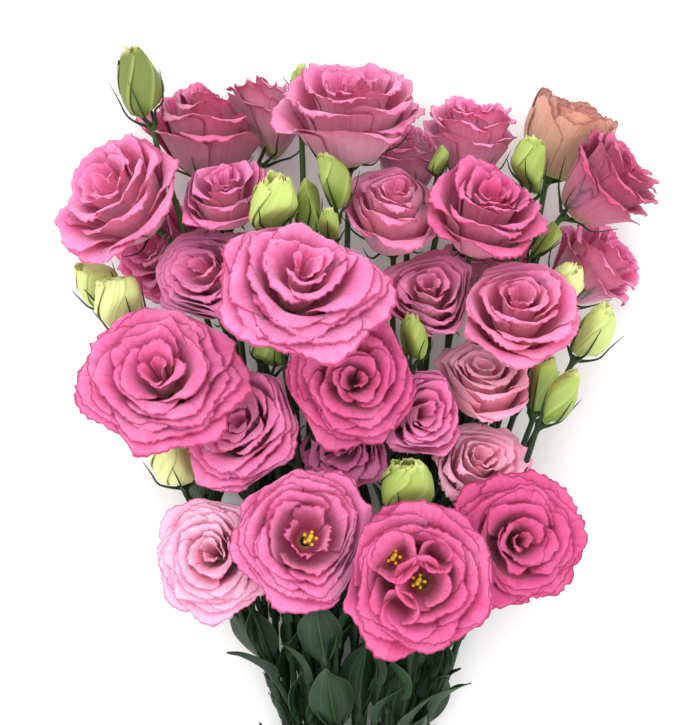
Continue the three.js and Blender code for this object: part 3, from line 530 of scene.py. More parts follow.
def stalk_part(stalk):
    """A stem or stalk, from its cut end or its fork up to the cup under its head."""
    head = stalk["head"]
    rows = np.column_stack((stalk["points"][:-2], stalk["radii"][:-2]))
    cup = [(1.0, PEDICEL_RADIUS), (0.5, 2.5), (0.12, CALYX_RADIUS)]
    top = [(*(head["base"] - head["axis"] * (CALYX_DEPTH * share + GAP)), radius) for share, radius in cup]
    rows = np.concatenate((rows, top))
    if stalk["parent"] is None:
        place = band_place(stalk["spray"])
        end_z = max(STEM_RADIUS + 0.9, BAND_Z + 1.3 * (place[2] - BAND_Z) - 4)
        end_y = FOOT_Y + FOOT_RAGGED * (draw(stalk["spray"], 5) - 0.5)
        end = np.array((BAND_X + FOOT_SPREAD * (place[0] - BAND_X), end_y, end_z))
        gathered = place + (0, -20, 0)
        foot = [(*(end + (gathered - end) * share), STEM_RADIUS) for share in (0, 0.25, 0.5, 0.75)]
        rows = np.concatenate((foot, [(*gathered, STEM_RADIUS), (*place, STEM_RADIUS)], rows))
    fine = refined(rows, 3)
    path, radii = fine[:, :3], fine[:, 3].copy()
    if stalk["parent"] is None:
        for k in NODE_PLACES:
            if k < len(stalk["points"]) - 8:
                far = np.linalg.norm(path - stalk["points"][k], axis=1)
                radii += 0.7 * np.exp(-((far / 2.6) ** 2))
    points, quads, ends = tube(path, radii, STALK_SIDES)
    run = np.concatenate(([0], np.cumsum(np.linalg.norm(np.diff(path, axis=0), axis=1))))
    along = np.concatenate((np.repeat(run, STALK_SIDES), run[:1], run[-1:]))
    around = np.concatenate((np.tile(np.abs(np.linspace(-1, 1, STALK_SIDES)), len(path)), (0, 0)))
    height = np.clip((points[:, 1] - 60) / 240, 0, 1)
    pith = np.zeros(len(points))
    if stalk["parent"] is None:
        pith[-2] = 1
    return points, quads, ends, {"along": along, "around": around, "height": height, "pith": pith}


def sepal_parts(head):
    """The five narrow green sepals that stand round a head, from its cup to their hair-thin tips."""
    radius, depth = head["radius"], head["depth"]
    parts = []
    for k in range(5):
        angle = 2 * math.pi * (k + 0.5) / 5 + head["index"]
        lift = draw(head["index"], k)
        if head["form"] in ("bud", "young"):
            stops = (
                (0.55 * radius + 1.2, 0.02),
                (0.9 * radius + 1.3, 0.15),
                (1.05 * radius + 1.5, 0.38),
                (1.12 * radius + 1.5 + 3 * lift, 0.58 + 0.1 * lift),
            )
        else:
            stops = (
                (0.3 * radius + 1.2, 0.03),
                (0.52 * radius + 1.6, 0.1),
                (0.68 * radius + 1.6, 0.2),
                (0.82 * radius + 1.6 + 2 * lift, 0.36 + 0.06 * lift),
            )
        stops = np.array(stops)
        path = on_head(head, stops[:, 0], angle + 0.12 * (lift - 0.5) * np.arange(4), stops[:, 1] * depth)
        path = np.concatenate((on_head(head, 2.4, angle, -2.4)[None], press(head, path, 1.1)))
        fine = refined(np.column_stack((path, (1.1, *SEPAL_RADII))), 4)
        points, quads, ends = tube(fine[:, :3], fine[:, 3], 6)
        marks = {"along": 9.0 * k, "around": 0.4, "height": 0.35, "pith": 0.0}
        parts.append((points, quads, ends, marks))
    return parts


for spray in SPRAYS:
    parts = []
    for stalk in stalks:
        if stalk["spray"] == spray:
            parts.append(stalk_part(stalk))
            parts += sepal_parts(stalk["head"])
    plant_piece(f"stems_{spray:02d}", parts, stem_finish.material, [f"spray_{spray:02d}"])


# ---- The leaves ------------------------------------------------------------------------------
# Opposite pairs of stalkless oval leaves clasp each stem, large low down and small at the forks. They are
# thick, smooth and blue-green, with a sunken middle vein, two side veins that run with it to the tip, a
# paler thin edge and a slight wave, and they spring straight out of the stem's swollen joints.
# spray: (route point, turn round the stem in sixteenths, length in millimetres) of each leaf
LEAVES = {
    1: ((11, 11, 41.9), (22, 3, 49.3), (28, 5, 44.0)),
    2: ((22, 3, 36.2), (28, 4, 46.4)),
    3: ((6, 13, 43.1), (22, 4, 40.0)),
    4: ((22, 3, 34.3), (28, 5, 46.6)),
    6: ((22, 11, 33.1), (28, 11, 45.5), (28, 3, 45.5)),
    7: (
        (6, 4, 57.6), (11, 4, 50.3), (11, 12, 37.7), (16, 4, 49.2),
        (16, 11, 36.9), (22, 12, 48.5), (22, 3, 36.4),
    ),
    8: ((16, 3, 46.3), (28, 5, 33.5)),
    9: ((11, 5, 54.1), (28, 11, 45.7)),
    10: ((11, 4, 42.9), (22, 11, 31.9)),
    11: (
        (6, 13, 37.2), (6, 4, 37.2), (11, 5, 48.2), (11, 11, 48.2), (16, 5, 53.3),
        (16, 11, 53.3), (22, 11, 49.3), (22, 4, 37.0), (28, 11, 31.7),
    ),
    12: ((6, 5, 51.5),),
    13: ((6, 3, 58.3),),
}
LEAF_GRID, SMALL_LEAF_GRID = (20, 9), (12, 7)  # rows and columns
SMALL_LEAF_PLACES = range(5, 30, 3)  # the small leaves of a side stalk, in its route points
SMALL_LEAF_LOW, SMALL_LEAF_HIGH = -20, 150  # and how far up the bunch they grow
LEAF_SLIM, FORK_LEAF_SLIM, SIDE_LEAF_SLIM = 0.44, 0.3, 0.34  # widths, as shares of the length
LEAF_THICK = 0.55

leaf_finish = Finish("leaf_green", 0.4, 0.25)
across = leaf_finish.mark("across")
along = leaf_finish.mark("along")
off_middle = leaf_finish.sums("ABSOLUTE", across)
cloud = leaf_finish.noise(55.0, 4.0)
midrib = leaf_finish.between(off_middle, 0.0, 0.09, 1.0, 0.0)
off_side_vein = leaf_finish.sums("ABSOLUTE", leaf_finish.sums("SUBTRACT", off_middle, 0.5))
side_vein = leaf_finish.between(off_side_vein, 0.0, 0.05, 1.0, 0.0)
veins = leaf_finish.sums("MAXIMUM", midrib, leaf_finish.sums("MULTIPLY", side_vein, 0.6))
rim = leaf_finish.between(off_middle, 0.9, 1.0, 0.0, 0.7)
web = leaf_finish.drawn_noise((across, 5), (along, 9), cloud, 5.0)
leaf_finish.paint(
    tone(12, 30, 18),
    (leaf_finish.between(cloud, 0.3, 0.7), tone(26, 50, 29)),
    (leaf_finish.between(leaf_finish.mark("light"), 0.0, 1.0, 0.0, 0.5), tone(42, 72, 34)),
    (leaf_finish.between(web, 0.45, 0.7, 0.0, 0.3), tone(44, 68, 44)),
    (leaf_finish.sums("MULTIPLY", leaf_finish.sums("MAXIMUM", veins, rim), 0.5), tone(74, 104, 62)),
)
leaf_finish.bump(leaf_finish.sums("SUBTRACT", web, veins), 0.3, 0.0006)


def straight_out(sheet):
    """The way straight out of a sheet at each of its points."""
    out = np.cross(np.gradient(sheet, axis=1), np.gradient(sheet, axis=0))
    return out / np.maximum(np.linalg.norm(out, axis=2), 1e-9)[..., None]


def sheet_part(sheet, thick, marks, fringe=0):
    """A thin closed sheet over a grid of points, with its marks as grids and its two faces marked.

    With a fringe, that many last rows keep every column and the rows before them each third one.
    """
    rows, columns = sheet.shape[:2]
    offset = straight_out(sheet) * (np.broadcast_to(thick, (rows, columns)) / 2)[..., None]
    step = 3 if fringe else 1
    kept = np.zeros((rows, columns), bool)
    kept[:, ::step] = True
    kept[rows - fringe :] = True
    number = np.cumsum(kept).reshape(rows, columns) - 1
    coarse, frill = number[: rows - fringe, ::step], number[rows - fringe :]
    if fringe:
        down, up = (coarse[1:, -1], frill[:, -1]), (frill[-2::-1, 0], coarse[:0:-1, 0])
        edge = (coarse[0], *down, number[-1, -2::-1], *up)
        grids = (coarse, frill)
        a, b = coarse[-1, :-1], coarse[-1, 1:]
        p, q, r, e = frill[0, :-1:3], frill[0, 1::3], frill[0, 2::3], frill[0, 3::3]
        seam = ((a, q, p), (a, r, q), (a, b, r), (b, e, r))
        triangles = np.concatenate([np.stack(corners, axis=1) for corners in seam])
    else:
        edge = (number[0], number[1:, -1], number[-1, -2::-1], number[-2:0:-1, 0])
        grids = (coarse,)
        triangles = NO_TRIANGLES
    edge = np.concatenate(edge)
    cells = [np.stack((g[:-1, :-1], g[:-1, 1:], g[1:, 1:], g[1:, :-1]), axis=-1) for g in grids]
    quads = np.concatenate([cell.reshape(-1, 4) for cell in cells])
    count = int(kept.sum())
    points = np.concatenate(((sheet + offset)[kept], (sheet - offset)[kept]))
    ahead = np.roll(edge, -1)
    wall = np.stack((ahead, edge, edge + count, ahead + count), axis=1)
    both = {key: np.tile(np.broadcast_to(grid, (rows, columns))[kept], 2) for key, grid in marks.items()}
    both["back"] = np.repeat((1.0, 0.0), count)
    quads = np.concatenate((quads, quads[:, (0, 3, 2, 1)] + count, wall))
    return points, quads, np.concatenate((triangles, triangles[:, ::-1] + count)), both


# The stems as close beads, so that leaves and petals can be kept off them.
beads = []
for stalk in stalks:
    fine = refined(np.column_stack((stalk["points"], stalk["radii"])), 3)
    left = np.repeat(len(stalk["points"]) - np.arange(len(stalk["points"])), 3)[: len(fine)]
    beads.append((stalk["head"]["name"], fine, left))

STEM_ROOM = 1.2


def clear_of_stems(sheet, middle, extent, own, own_left):
    """A sheet moved off the stems near it.

    Its own stem counts only where more than own_left of its points are still to come.
    """
    points = sheet.reshape(-1, 3)
    for owner, fine, left in beads:
        near = np.linalg.norm(fine[:, :3] - middle, axis=1) < extent
        if owner == own:
            near &= left > own_left
        if not near.any():
            continue
        away = points[:, None, :] - fine[None, near, :3]
        far = np.linalg.norm(away, axis=2)
        short = fine[None, near, 3] + STEM_ROOM - far
        worst = short.argmax(axis=1)
        rows = np.arange(len(points))
        push = np.maximum(short[rows, worst], 0) / np.maximum(far[rows, worst], 0.1)
        points = points + away[rows, worst] * push[:, None]
    return points.reshape(sheet.shape)


def leaf_part(stalk, place, sixteenths, length, seed, slim=LEAF_SLIM, grid=LEAF_GRID):
    way = unit(stalk["points"][place + 1] - stalk["points"][place - 1])
    start = unit(np.cross((0, 0, 1), way))
    turn = 2 * math.pi * sixteenths / 16
    out = start * math.cos(turn) + np.cross(way, start) * math.sin(turn)
    side = np.cross(way, out)
    up = 0.6 * way - 0.8 * out
    t = np.linspace(0, 1, grid[0])[:, None]
    s = np.linspace(-1, 1, grid[1])[None, :]
    width = 0.3 * (1 - t) ** 5 + 4.2 * t**0.75 * (1 - t) ** 1.6 + 0.012
    half = 0.5 * length * slim * width
    lean = 0.05 * length * (draw(seed, 3) - 0.5) * t**2
    wave = 0.026 * length * np.sin(7 * t + 6 * draw(seed, 4) + 1.5 * np.sign(s)) * s**2
    rise = 0.5 * half * np.abs(s) ** 1.4 - 0.05 * half * np.exp(-((s / 0.12) ** 2)) + wave
    curl = -0.05 * length * t**3
    sheet = (
        stalk["points"][place]
        + (length * (0.34 * t + 0.1 * t * t))[..., None] * out
        + (length * (0.95 * t - 0.15 * t * t))[..., None] * way
        + (half * s + lean)[..., None] * side
        + (rise + curl)[..., None] * up
    )
    own = stalk["head"]["name"]
    own_left = len(stalk["points"]) - place - 3
    sheet = clear_of_stems(sheet, sheet.mean(axis=(0, 1)), 0.8 * length + 6, own, own_left)
    light = 0.25 + 0.5 * draw(seed, 6)
    thick = LEAF_THICK - 0.25 * t * np.ones_like(s)
    return sheet_part(sheet, thick, {"along": t, "across": s, "light": light})


for spray, places in LEAVES.items():
    stem = next(s for s in stalks if s["spray"] == spray and s["parent"] is None)
    parts = [leaf_part(stem, *leaf, 10 * spray + k) for k, leaf in enumerate(places)]
    for fork in sorted({s["index"] for s in stalks if s["spray"] == spray and s["parent"]}):
        for k, turn in enumerate((3, 11)):
            length = 15 + 9 * draw(fork, 10 * spray + k)
            seed = 50 * spray + fork + k
            parts.append(leaf_part(stem, fork, turn, length, seed, FORK_LEAF_SLIM, SMALL_LEAF_GRID))
    for number, side_stalk in enumerate(s for s in stalks if s["spray"] == spray and s["parent"]):
        for place in SMALL_LEAF_PLACES:
            if place >= len(side_stalk["points"]) - 9:
                continue
            if not SMALL_LEAF_LOW < side_stalk["points"][place][1] < SMALL_LEAF_HIGH:
                continue
            seed = 97 * spray + 31 * number + place
            turn = (1, 7)[place % 2] + 1.6 * (draw(seed, 1) - 0.5)
            length = 24 + 12 * draw(seed, 2)
            parts.append(leaf_part(side_stalk, place, turn, length, seed, SIDE_LEAF_SLIM, SMALL_LEAF_GRID))
    plant_piece(f"leaves_{spray:02d}", parts, leaf_finish.material, [f"spray_{spray:02d}"])


# ---- The buds --------------------------------------------------------------------------------
# Furled flowers not yet open: five petals wound round each other in a pointed barrel, yellow-green with
# darker ribs from the cup, and cream where they are about to colour. Their frilled tips stand ragged at
# the top, round the tight ends of the inner petals.
BUD_TWIST = 1.6
BUD_ROWS, BUD_COLUMNS = 15, 22
BUD_FRINGE = (0.94, 0.97, 1)  # where the last rows of a petal run, as shares of its length
BUD_THICK = 0.5
BUD_LAYERS = ((5, 1.0, 0.96), (5, 0.66, 1.0), (3, 0.34, 0.98))  # petals, and shares of the radius and height
BUD_RISES = (0.0, 0.13, 0.28, 0.45, 0.62, 0.8, 1.0)  # shares of a bud's height, and its radius at each
BUD_LINE = (0.0, 0.82, 0.97, 1.0, 0.92, 0.72, 0.42)
CREAM_BUDS = {"bud_08": 0.9, "bud_15": 0.9, "bud_06": 0.7, "bud_07": 0.5, "bud_14": 0.35, "bud_02": 0.15}
OLIVE_BUDS = {
    "bud_01": 1.3, "bud_04": 0.7, "bud_09": 0.6, "bud_10": 0.5, "bud_12": 0.4, "bud_05": 0.4, "bud_11": 0.2
}
RAGGED_BUDS = {"bud_11": 1.0, "bud_15": 0.8, "bud_06": 0.8, "bud_08": 0.7, "bud_07": 0.6}

bud_finish = Finish("bud_green", 0.5, 0.4)
across = bud_finish.mark("across")
along = bud_finish.mark("along")
streak = bud_finish.drawn_noise((across, 7), (along, 1.3), bud_finish.mark("tint"), 4.0)
side = bud_finish.sums("ABSOLUTE", across)
bud_finish.paint(
    tone(124, 152, 60),
    (bud_finish.between(along, 0.0, 0.9), tone(178, 196, 98)),
    (bud_finish.mark("cream"), tone(228, 230, 160)),
    (bud_finish.sums("MULTIPLY", bud_finish.mark("olive"), 0.75), tone(102, 116, 48)),
    (bud_finish.between(streak, 0.45, 0.75, 0.0, 0.4), tone(112, 138, 56)),
    (bud_finish.between(side, 0.7, 0.93, 0.0, 0.22), tone(214, 220, 138)),
    (bud_finish.between(side, 0.95, 1.0, 0.0, 0.5), tone(104, 122, 50)),
    (bud_finish.between(along, 0.9, 1.0, 0.0, 0.6), tone(222, 222, 150)),
)
bud_finish.shader.inputs["Subsurface Weight"].default_value = 0.15
bud_finish.shader.inputs["Subsurface Scale"].default_value = 0.003
bud_finish.bump(streak, 0.4, 0.0005)


def bud_parts(head):
    radius, depth = head["radius"], head["depth"]
    ragged = RAGGED_BUDS.get(head["name"], 0.25)
    parts = []
    for layer, (count, shrink, top) in enumerate(BUD_LAYERS):
        for k in range(count):
            seed = head["index"] * 40 + layer * 10 + k
            s = np.linspace(-1, 1, BUD_COLUMNS)[None, :]
            t = np.concatenate((np.linspace(0, 0.9, BUD_ROWS - len(BUD_FRINGE)), BUD_FRINGE))[:, None]
            tip = top * (1 + 0.16 * (draw(seed, 1) - 0.6)) - 0.1 * np.abs(s) ** 1.6
            teeth = (draw(np.arange(BUD_COLUMNS) + 17.0 * seed, 2) - 0.5)[None, :]
            rise = t * (tip + 0.06 * teeth * t**12)
            line = np.interp(rise, BUD_RISES, BUD_LINE)
            foot = np.exp(-rise / 0.06)
            line = line * (1 - foot) + (3.0 / radius) * foot
            rho = radius * line * (shrink + (1 - shrink) * 0.1)
            rho = rho * (1 + 0.1 * s + 0.03 * np.cos(3 * np.pi * s))
            high = np.clip((rise - 0.7) / 0.3, 0, 1)
            rho = rho * (1 + 0.3 * (draw(seed, 3) - 0.2) * high**2)
            frill = 0.2 * np.sin(7 * s + 6 * draw(seed, 4)) + 0.1 * np.sin(15 * s + 6 * draw(seed, 6))
            rho = rho * (1 + ragged * high * frill)
            half = 1.0 if count == 5 else 1.35
            twist = BUD_TWIST * rise * (0.6 + 0.4 * rise)
            angle = 2 * np.pi * k / count + half * s + twist + 0.7 * layer + head["index"]
            sheet = press(head, on_head(head, rho, angle, rise * depth), 2.0)
            marks = {"along": rise, "across": s, "tint": draw(seed, 5) * 5}
            marks["cream"] = CREAM_BUDS.get(head["name"], 0.0)
            marks["olive"] = OLIVE_BUDS.get(head["name"], 0.6 if head["form"] == "young" else 0.0)
            thick = BUD_THICK - 0.2 * t * np.ones_like(s)
            parts.append(sheet_part(sheet, thick, marks, len(BUD_FRINGE)))
    return parts


for name, head in heads.items():
    if head["form"] in ("bud", "young"):
        node = name if head["form"] == "bud" else f"spray_{head['spray']:02d}"
        plant_piece(f"furled_{name}", bud_parts(head), bud_finish.material, [node])


# ---- The blooms ------------------------------------------------------------------------------
# Double flowers, each of twenty or more thin silky petals in whorls. The petals of a whorl overlap like a
# fan, one edge over the next petal's, wave gently, and end in a fine toothed frill. Rose pink inside with
# fine veins that run out from a darker throat, dustier and paler behind, and green-white where they join.
# Each whorl: petals, half width in radians, and its middle line as (share of radius, share of depth).
WHORLS = {
    "full": (
        (5, 0.98, ((0.10, 0.0), (0.74, 0.02), (0.62, 0.82), (1.05, 0.62))),
        (5, 0.96, ((0.10, 0.0), (0.68, 0.05), (0.58, 0.92), (0.99, 0.72))),
        (5, 0.94, ((0.09, 0.02), (0.60, 0.10), (0.52, 0.99), (0.88, 0.81))),
        (4, 1.10, ((0.08, 0.04), (0.50, 0.18), (0.42, 1.03), (0.74, 0.89))),
        (3, 1.30, ((0.05, 0.08), (0.38, 0.26), (0.30, 1.04), (0.58, 0.95))),
        (3, 1.30, ((0.03, 0.15), (0.25, 0.36), (0.17, 1.02), (0.40, 0.98))),
        (2, 1.50, ((0.02, 0.20), (0.12, 0.45), (0.08, 0.95), (0.20, 0.99))),
    ),
    "small": (
        (5, 0.98, ((0.12, 0.0), (0.76, 0.02), (0.64, 0.84), (1.04, 0.66))),
        (5, 0.95, ((0.10, 0.0), (0.66, 0.06), (0.52, 0.98), (0.90, 0.80))),
        (4, 1.10, ((0.08, 0.02), (0.52, 0.16), (0.37, 1.05), (0.70, 0.91))),
        (3, 1.30, ((0.05, 0.08), (0.35, 0.30), (0.23, 1.03), (0.48, 0.98))),
        (3, 1.30, ((0.03, 0.18), (0.18, 0.42), (0.11, 0.96), (0.27, 0.99))),
    ),
    "tilted": (
        (5, 0.98, ((0.10, 0.0), (0.64, 0.03), (0.72, 0.78), (1.05, 0.64))),
        (5, 0.98, ((0.10, 0.0), (0.62, 0.06), (0.62, 0.98), (0.92, 0.86))),
        (4, 1.15, ((0.08, 0.04), (0.48, 0.18), (0.40, 1.07), (0.66, 0.98))),
        (3, 1.35, ((0.05, 0.08), (0.34, 0.30), (0.24, 1.04), (0.43, 1.00))),
        (3, 1.35, ((0.03, 0.18), (0.18, 0.42), (0.11, 0.96), (0.24, 0.98))),
    ),
    "cup": (
        (5, 0.98, ((0.14, 0.0), (0.98, 0.02), (1.04, 0.60), (0.95, 0.96))),
        (5, 0.95, ((0.12, 0.0), (0.84, 0.10), (0.90, 0.66), (0.80, 1.00))),
        (4, 1.10, ((0.10, 0.02), (0.66, 0.20), (0.70, 0.75), (0.60, 1.01))),
        (3, 1.25, ((0.06, 0.08), (0.46, 0.35), (0.46, 0.80), (0.38, 1.00))),
        (2, 1.50, ((0.04, 0.20), (0.24, 0.45), (0.24, 0.80), (0.17, 0.98))),
    ),
    "open": (
        (5, 0.98, ((0.10, 0.0), (0.78, 0.02), (0.68, 0.80), (1.05, 0.62))),
        (5, 0.96, ((0.10, 0.0), (0.72, 0.06), (0.60, 0.92), (0.98, 0.73))),
        (5, 0.94, ((0.09, 0.02), (0.64, 0.10), (0.52, 0.98), (0.85, 0.84))),
        (4, 1.10, ((0.08, 0.04), (0.56, 0.14), (0.42, 0.90), (0.72, 0.93))),
        (3, 1.25, ((0.08, 0.08), (0.48, 0.14), (0.34, 0.62), (0.58, 0.96))),
        (4, 0.80, ((0.08, 0.10), (0.32, 0.14), (0.22, 0.60), (0.37, 0.92))),
    ),
}
PETAL_GRIDS = ((13, 40), (13, 40), (12, 40), (11, 37), (10, 31), (9, 28), (9, 22))  # rows, columns by whorl
PETAL_FRINGE = (0.965, 1)
# In one bloom the inner petals curl into small cups: each one's place across the bloom, and its radius.
INNER_CUPS = {"bloom_25": ((2, -1, 13), (-12, 12, 11), (-9, -13, 9), (9, 13, 8))}
CUP_WHORL = (3, 1.25, ((0.30, 0.30), (0.75, 0.36), (0.70, 0.92), (1.10, 0.98)))
FOLDS = ((2, 0.040), (3, 0.034), (5, 0.028), (8, 0.020), (13, 0.010))  # how many go round, and their lift
# The waves of one petal: their lift, how close to the rim they keep, how many cross it at least, how many
# more there may be, which draw says so, and how they slant.
WAVES = (
    (0.017, 2, 1.2, 1.0, 5, 0),
    (0.013, 4, 2.6, 1.4, 7, 2),
    (0.007, 1.5, 4.2, 1.0, 15, 5),
    (0.016, 10, 6, 2, 9, 0),
    (0.008, 16, 11, 3, 17, 0),
)
PETAL_THICK = 0.42
OWN_STALK_END = 6  # the last points of a bloom's own stalk, which its petals may touch
DEEP_BLOOMS = {
    "bloom_24": 1.0, "bloom_06": 1.0, "bloom_14": 0.8, "bloom_25": 0.7, "bloom_18": 0.6, "bloom_01": 0.5,
    "bloom_12": 0.3,
}
DUSTY_BLOOMS = {"bloom_06": 0.5, "bloom_03": 0.4, "bloom_01": 0.4, "bloom_02": 0.5}
# Painted light: blooms that sit in their neighbours' shade, with how much lighter colour is laid on each
PAINTED_LIGHT_BLOOMS = {
    "bloom_20": 1.0, "bloom_21": 1.0, "bloom_19": 0.6, "bloom_17": 0.6, "bloom_16": 0.4, "bloom_08": 0.2
}
PALE_BLOOMS = ("bloom_20", "bloom_21", "bloom_22")
PEACH_BLOOMS = ("bloom_05",)


# light: a painted light, laid over blooms that sit in their neighbours' shade
# line: the colour of a painted shade along each petal's rim
def petal_finish(name, throat, middle, edge, back, vein, line, light):
    finish = Finish(name, 0.6, 0.15)
    keys = ("across", "along", "back", "rim", "tint")
    across, along, behind, rim, tint = (finish.mark(key) for key in keys)
    # Drawn out along the petal, the noise fans from the throat as veins do.
    streaks = finish.drawn_noise((across, 5), (along, 0.7), tint, 3.0)
    fine_veins = finish.drawn_noise((across, 19), (along, 1.6), tint, 4.0)
    crepe = finish.drawn_noise((across, 30), (along, 13), tint, 3.0)
    cloud, creases = finish.noise(34.0, 3.0), finish.noise(130.0, 2.0)
    outside = finish.laid(
        tone(176, 186, 116),
        (finish.between(along, 0.1, 0.42), back),
        (finish.between(along, 0.45, 0.95, 0.0, 0.6), throat),
    )
    colour = finish.laid(
        throat,
        (finish.between(along, 0.04, 0.4), middle),
        (finish.between(cloud, 0.3, 0.7, 0.0, 0.45), edge),
        (finish.between(rim, 0.75, 0.97, 0.0, 0.35), edge),
        (finish.between(along, 0.02, 0.16, 0.8, 0.0), tone(206, 200, 140)),
        (behind, outside),
        (finish.between(streaks, 0.42, 0.7, 0.0, 0.25), vein),
        (finish.between(fine_veins, 0.52, 0.7, 0.0, 0.3), vein),
        # painted shade: a thin dark line along each petal's rim stands for the shadow at its edge
        (finish.between(rim, 0.97, 0.99, 0.0, 0.8), line),
    )
    for mark, stain in (("deep", tone(228, 178, 202)), ("dusty", tone(214, 244, 216))):
        colour = finish.mix(finish.mark(mark), colour, finish.mix(1.0, colour, stain, "MULTIPLY"))
    # painted light: a lighter colour laid over the blooms that sit in their neighbours' shade
    finish.paint(colour, (finish.sums("MULTIPLY", finish.mark("light"), 0.55), light))
    finish.shader.inputs["Subsurface Weight"].default_value = 0.8
    finish.shader.inputs["Subsurface Radius"].default_value = (1.0, 0.6, 0.8)
    finish.shader.inputs["Subsurface Scale"].default_value = 0.001
    finish.shader.inputs["Sheen Weight"].default_value = 0.15
    relief, crepe = finish.sums("MULTIPLY", fine_veins, 0.7), finish.sums("MULTIPLY", crepe, 0.5)
    relief = finish.sums("ADD", relief, crepe)
    relief = finish.sums("ADD", relief, finish.sums("MULTIPLY", creases, 2.2))
    finish.bump(relief, 0.6, 0.0009)
    return finish.material


rose = petal_finish(
    "petal_rose",
    throat=tone(202, 66, 120),
    middle=tone(230, 104, 160),
    edge=tone(244, 152, 194),
    back=tone(218, 148, 176),
    vein=tone(184, 54, 108),
    line=tone(150, 30, 82),
    light=tone(255, 150, 182),
)
pale = petal_finish(
    "petal_pale",
    throat=tone(250, 142, 174),
    middle=tone(255, 166, 196),
    edge=tone(255, 198, 218),
    back=tone(255, 184, 204),
    vein=tone(240, 132, 168),
    line=tone(206, 84, 130),
    light=tone(255, 162, 188),
)
peach = petal_finish(
    "petal_peach",
    throat=tone(200, 138, 122),
    middle=tone(202, 154, 136),
    edge=tone(214, 176, 158),
    back=tone(202, 166, 140),
    vein=tone(160, 104, 98),
    line=tone(140, 84, 78),
    light=tone(230, 190, 170),
)


def petal_part(head, order, k, whorl):
    count, half, line = whorl
    rows, columns = PETAL_GRIDS[order]
    radius, depth = head["radius"], head["depth"]
    seed = head["index"] * 97 + order * 11 + k
    chance = [float(draw(seed, n)) for n in range(20)]
    s = np.linspace(-1, 1, columns)[None, :]
    t = np.concatenate((np.linspace(0, 0.93, rows - len(PETAL_FRINGE)), PETAL_FRINGE))[:, None] ** 0.9
    teeth = (draw(np.arange(columns) + 31.0 * seed, 2) - 0.5)[None, :]
    outline = 1 - 0.18 * np.abs(s) ** 3 + 0.05 * np.sin(np.pi * (1 + chance[12]) * s + 6.3 * chance[13])
    run = t * (outline + 0.04 * teeth * t**14)
    bends = np.stack(((1 - run) ** 3, 3 * run * (1 - run) ** 2, 3 * run**2 * (1 - run), run**3), axis=-1)
    line = np.array(line)
    line = line + np.outer((0, 0.3, 0.8, 1), (0.16 * (chance[0] - 0.6), 0.03 * (chance[1] - 0.5)))
    rho, rise = np.moveaxis(bends @ line, -1, 0)
    middle_angle = 2 * np.pi * (k + 0.5 * (order % 2)) / count + head["index"]
    middle_angle = middle_angle + 0.35 * (chance[3] - 0.5) + 0.4 * order
    angle = middle_angle + half * s * (0.92 + 0.08 * run) + 0.12 * (chance[4] - 0.5) * run
    folds = sum(
        lift * np.cos(number * (angle + 0.5 * rho) + 6.3 * draw(head["index"], 20 + number))
        for number, lift in FOLDS
    )
    droop = (0.06 + 0.02 * chance[2]) * s**2 * run**2
    tilt = -(0.028 + 0.015 * chance[14]) * s * run**1.5
    overlap = 0.06 + 0.012 * order
    rise = (rise - droop + tilt) * depth + folds * run**2 * radius
    rho = np.maximum(rho * radius * (1 + overlap * s * run) * (1 + 0.5 * folds * run**2), 0.6)
    sheet = on_head(head, rho, angle, rise)
    off_middle = (1 - rho / radius) * (rise / depth) * radius * 0.2
    for way, number in ((head["u"], 41), (head["v"], 42)):
        sheet = sheet + way * (off_middle * (draw(head["index"], number) - 0.5))[..., None]
    wave = 0
    for lift, power, least, more, pick, slant in WAVES:
        phase = np.pi * (least + more * chance[pick]) * s + 6.3 * chance[pick + 1] + slant * run
        wave = wave + lift * run**power * np.sin(phase)
    calm = 0.4 if head["form"] == "cup" else 1.0
    sheet = sheet + straight_out(sheet) * (wave * radius * calm)[..., None]
    layer = 0.5 * order + 0.3 * (1 - s)
    sheet = press(head, sheet, 0.5 + layer, softness=4.0)
    sheet = clear_of_stems(sheet, head["middle"], max(radius, depth) + 8, head["name"], OWN_STALK_END)
    sheet = press(head, sheet, 0.4 + layer, softness=1.5)
    rim = np.maximum(t, np.abs(s) * (run > 0.3))
    marks = {"along": run, "across": s, "rim": rim, "tint": 7 * chance[11]}
    # deep and dusty are the blooms' own tones, and light is painted light
    for mark, blooms in (("deep", DEEP_BLOOMS), ("dusty", DUSTY_BLOOMS), ("light", PAINTED_LIGHT_BLOOMS)):
        marks[mark] = blooms.get(head["name"], 0.0)
    return sheet_part(sheet, PETAL_THICK * (1 - 0.45 * t * np.ones_like(s)), marks, len(PETAL_FRINGE))


for head in heads.values():
    if not head["name"].startswith("bloom"):
        continue
    parts = []
    seen_from_side = head["form"] in ("full", "small") and head["axis"][2] < 0.795
    for order, whorl in enumerate(WHORLS["tilted" if seen_from_side else head["form"]]):
        if order < 4 or head["name"] not in INNER_CUPS:
            parts += [petal_part(head, order, k, whorl) for k in range(whorl[0])]
    for number, (sideways, up, radius) in enumerate(INNER_CUPS.get(head["name"], ())):
        base = head["base"] + sideways * head["u"] + up * head["v"]
        cup = dict(head, base=base, radius=radius, index=head["index"] + 60 + number)
        parts += [petal_part(cup, 4, k, CUP_WHORL) for k in range(CUP_WHORL[0])]
    if head["name"] in PALE_BLOOMS:
        material, slot = pale, "petal_pale"
    elif head["name"] in PEACH_BLOOMS:
        material, slot = peach, "petal_peach"
    else:
        material, slot = rose, "petal_rose"
    plant_piece(f"petals_{head['name']}", parts, material, [head["name"]])


# ---- The stamens -----------------------------------------------------------------------------
# In the two widest blooms the heart shows: a short green-yellow style that ends in two velvety lobes, and
# five thin filaments round it, each with a plump yellow anther dusted with pollen.
stamen_finish = Finish("stamen_yellow", 0.7, 0.2)
grain = stamen_finish.noise(900.0, 2.0)
stamen_finish.paint(
    tone(150, 160, 70),
    (stamen_finish.mark("anther"), tone(232, 186, 40)),
    (stamen_finish.between(grain, 0.4, 0.7, 0.0, 0.5), tone(250, 214, 90)),
)
stamen_finish.bump(grain, 0.5, 0.0003)


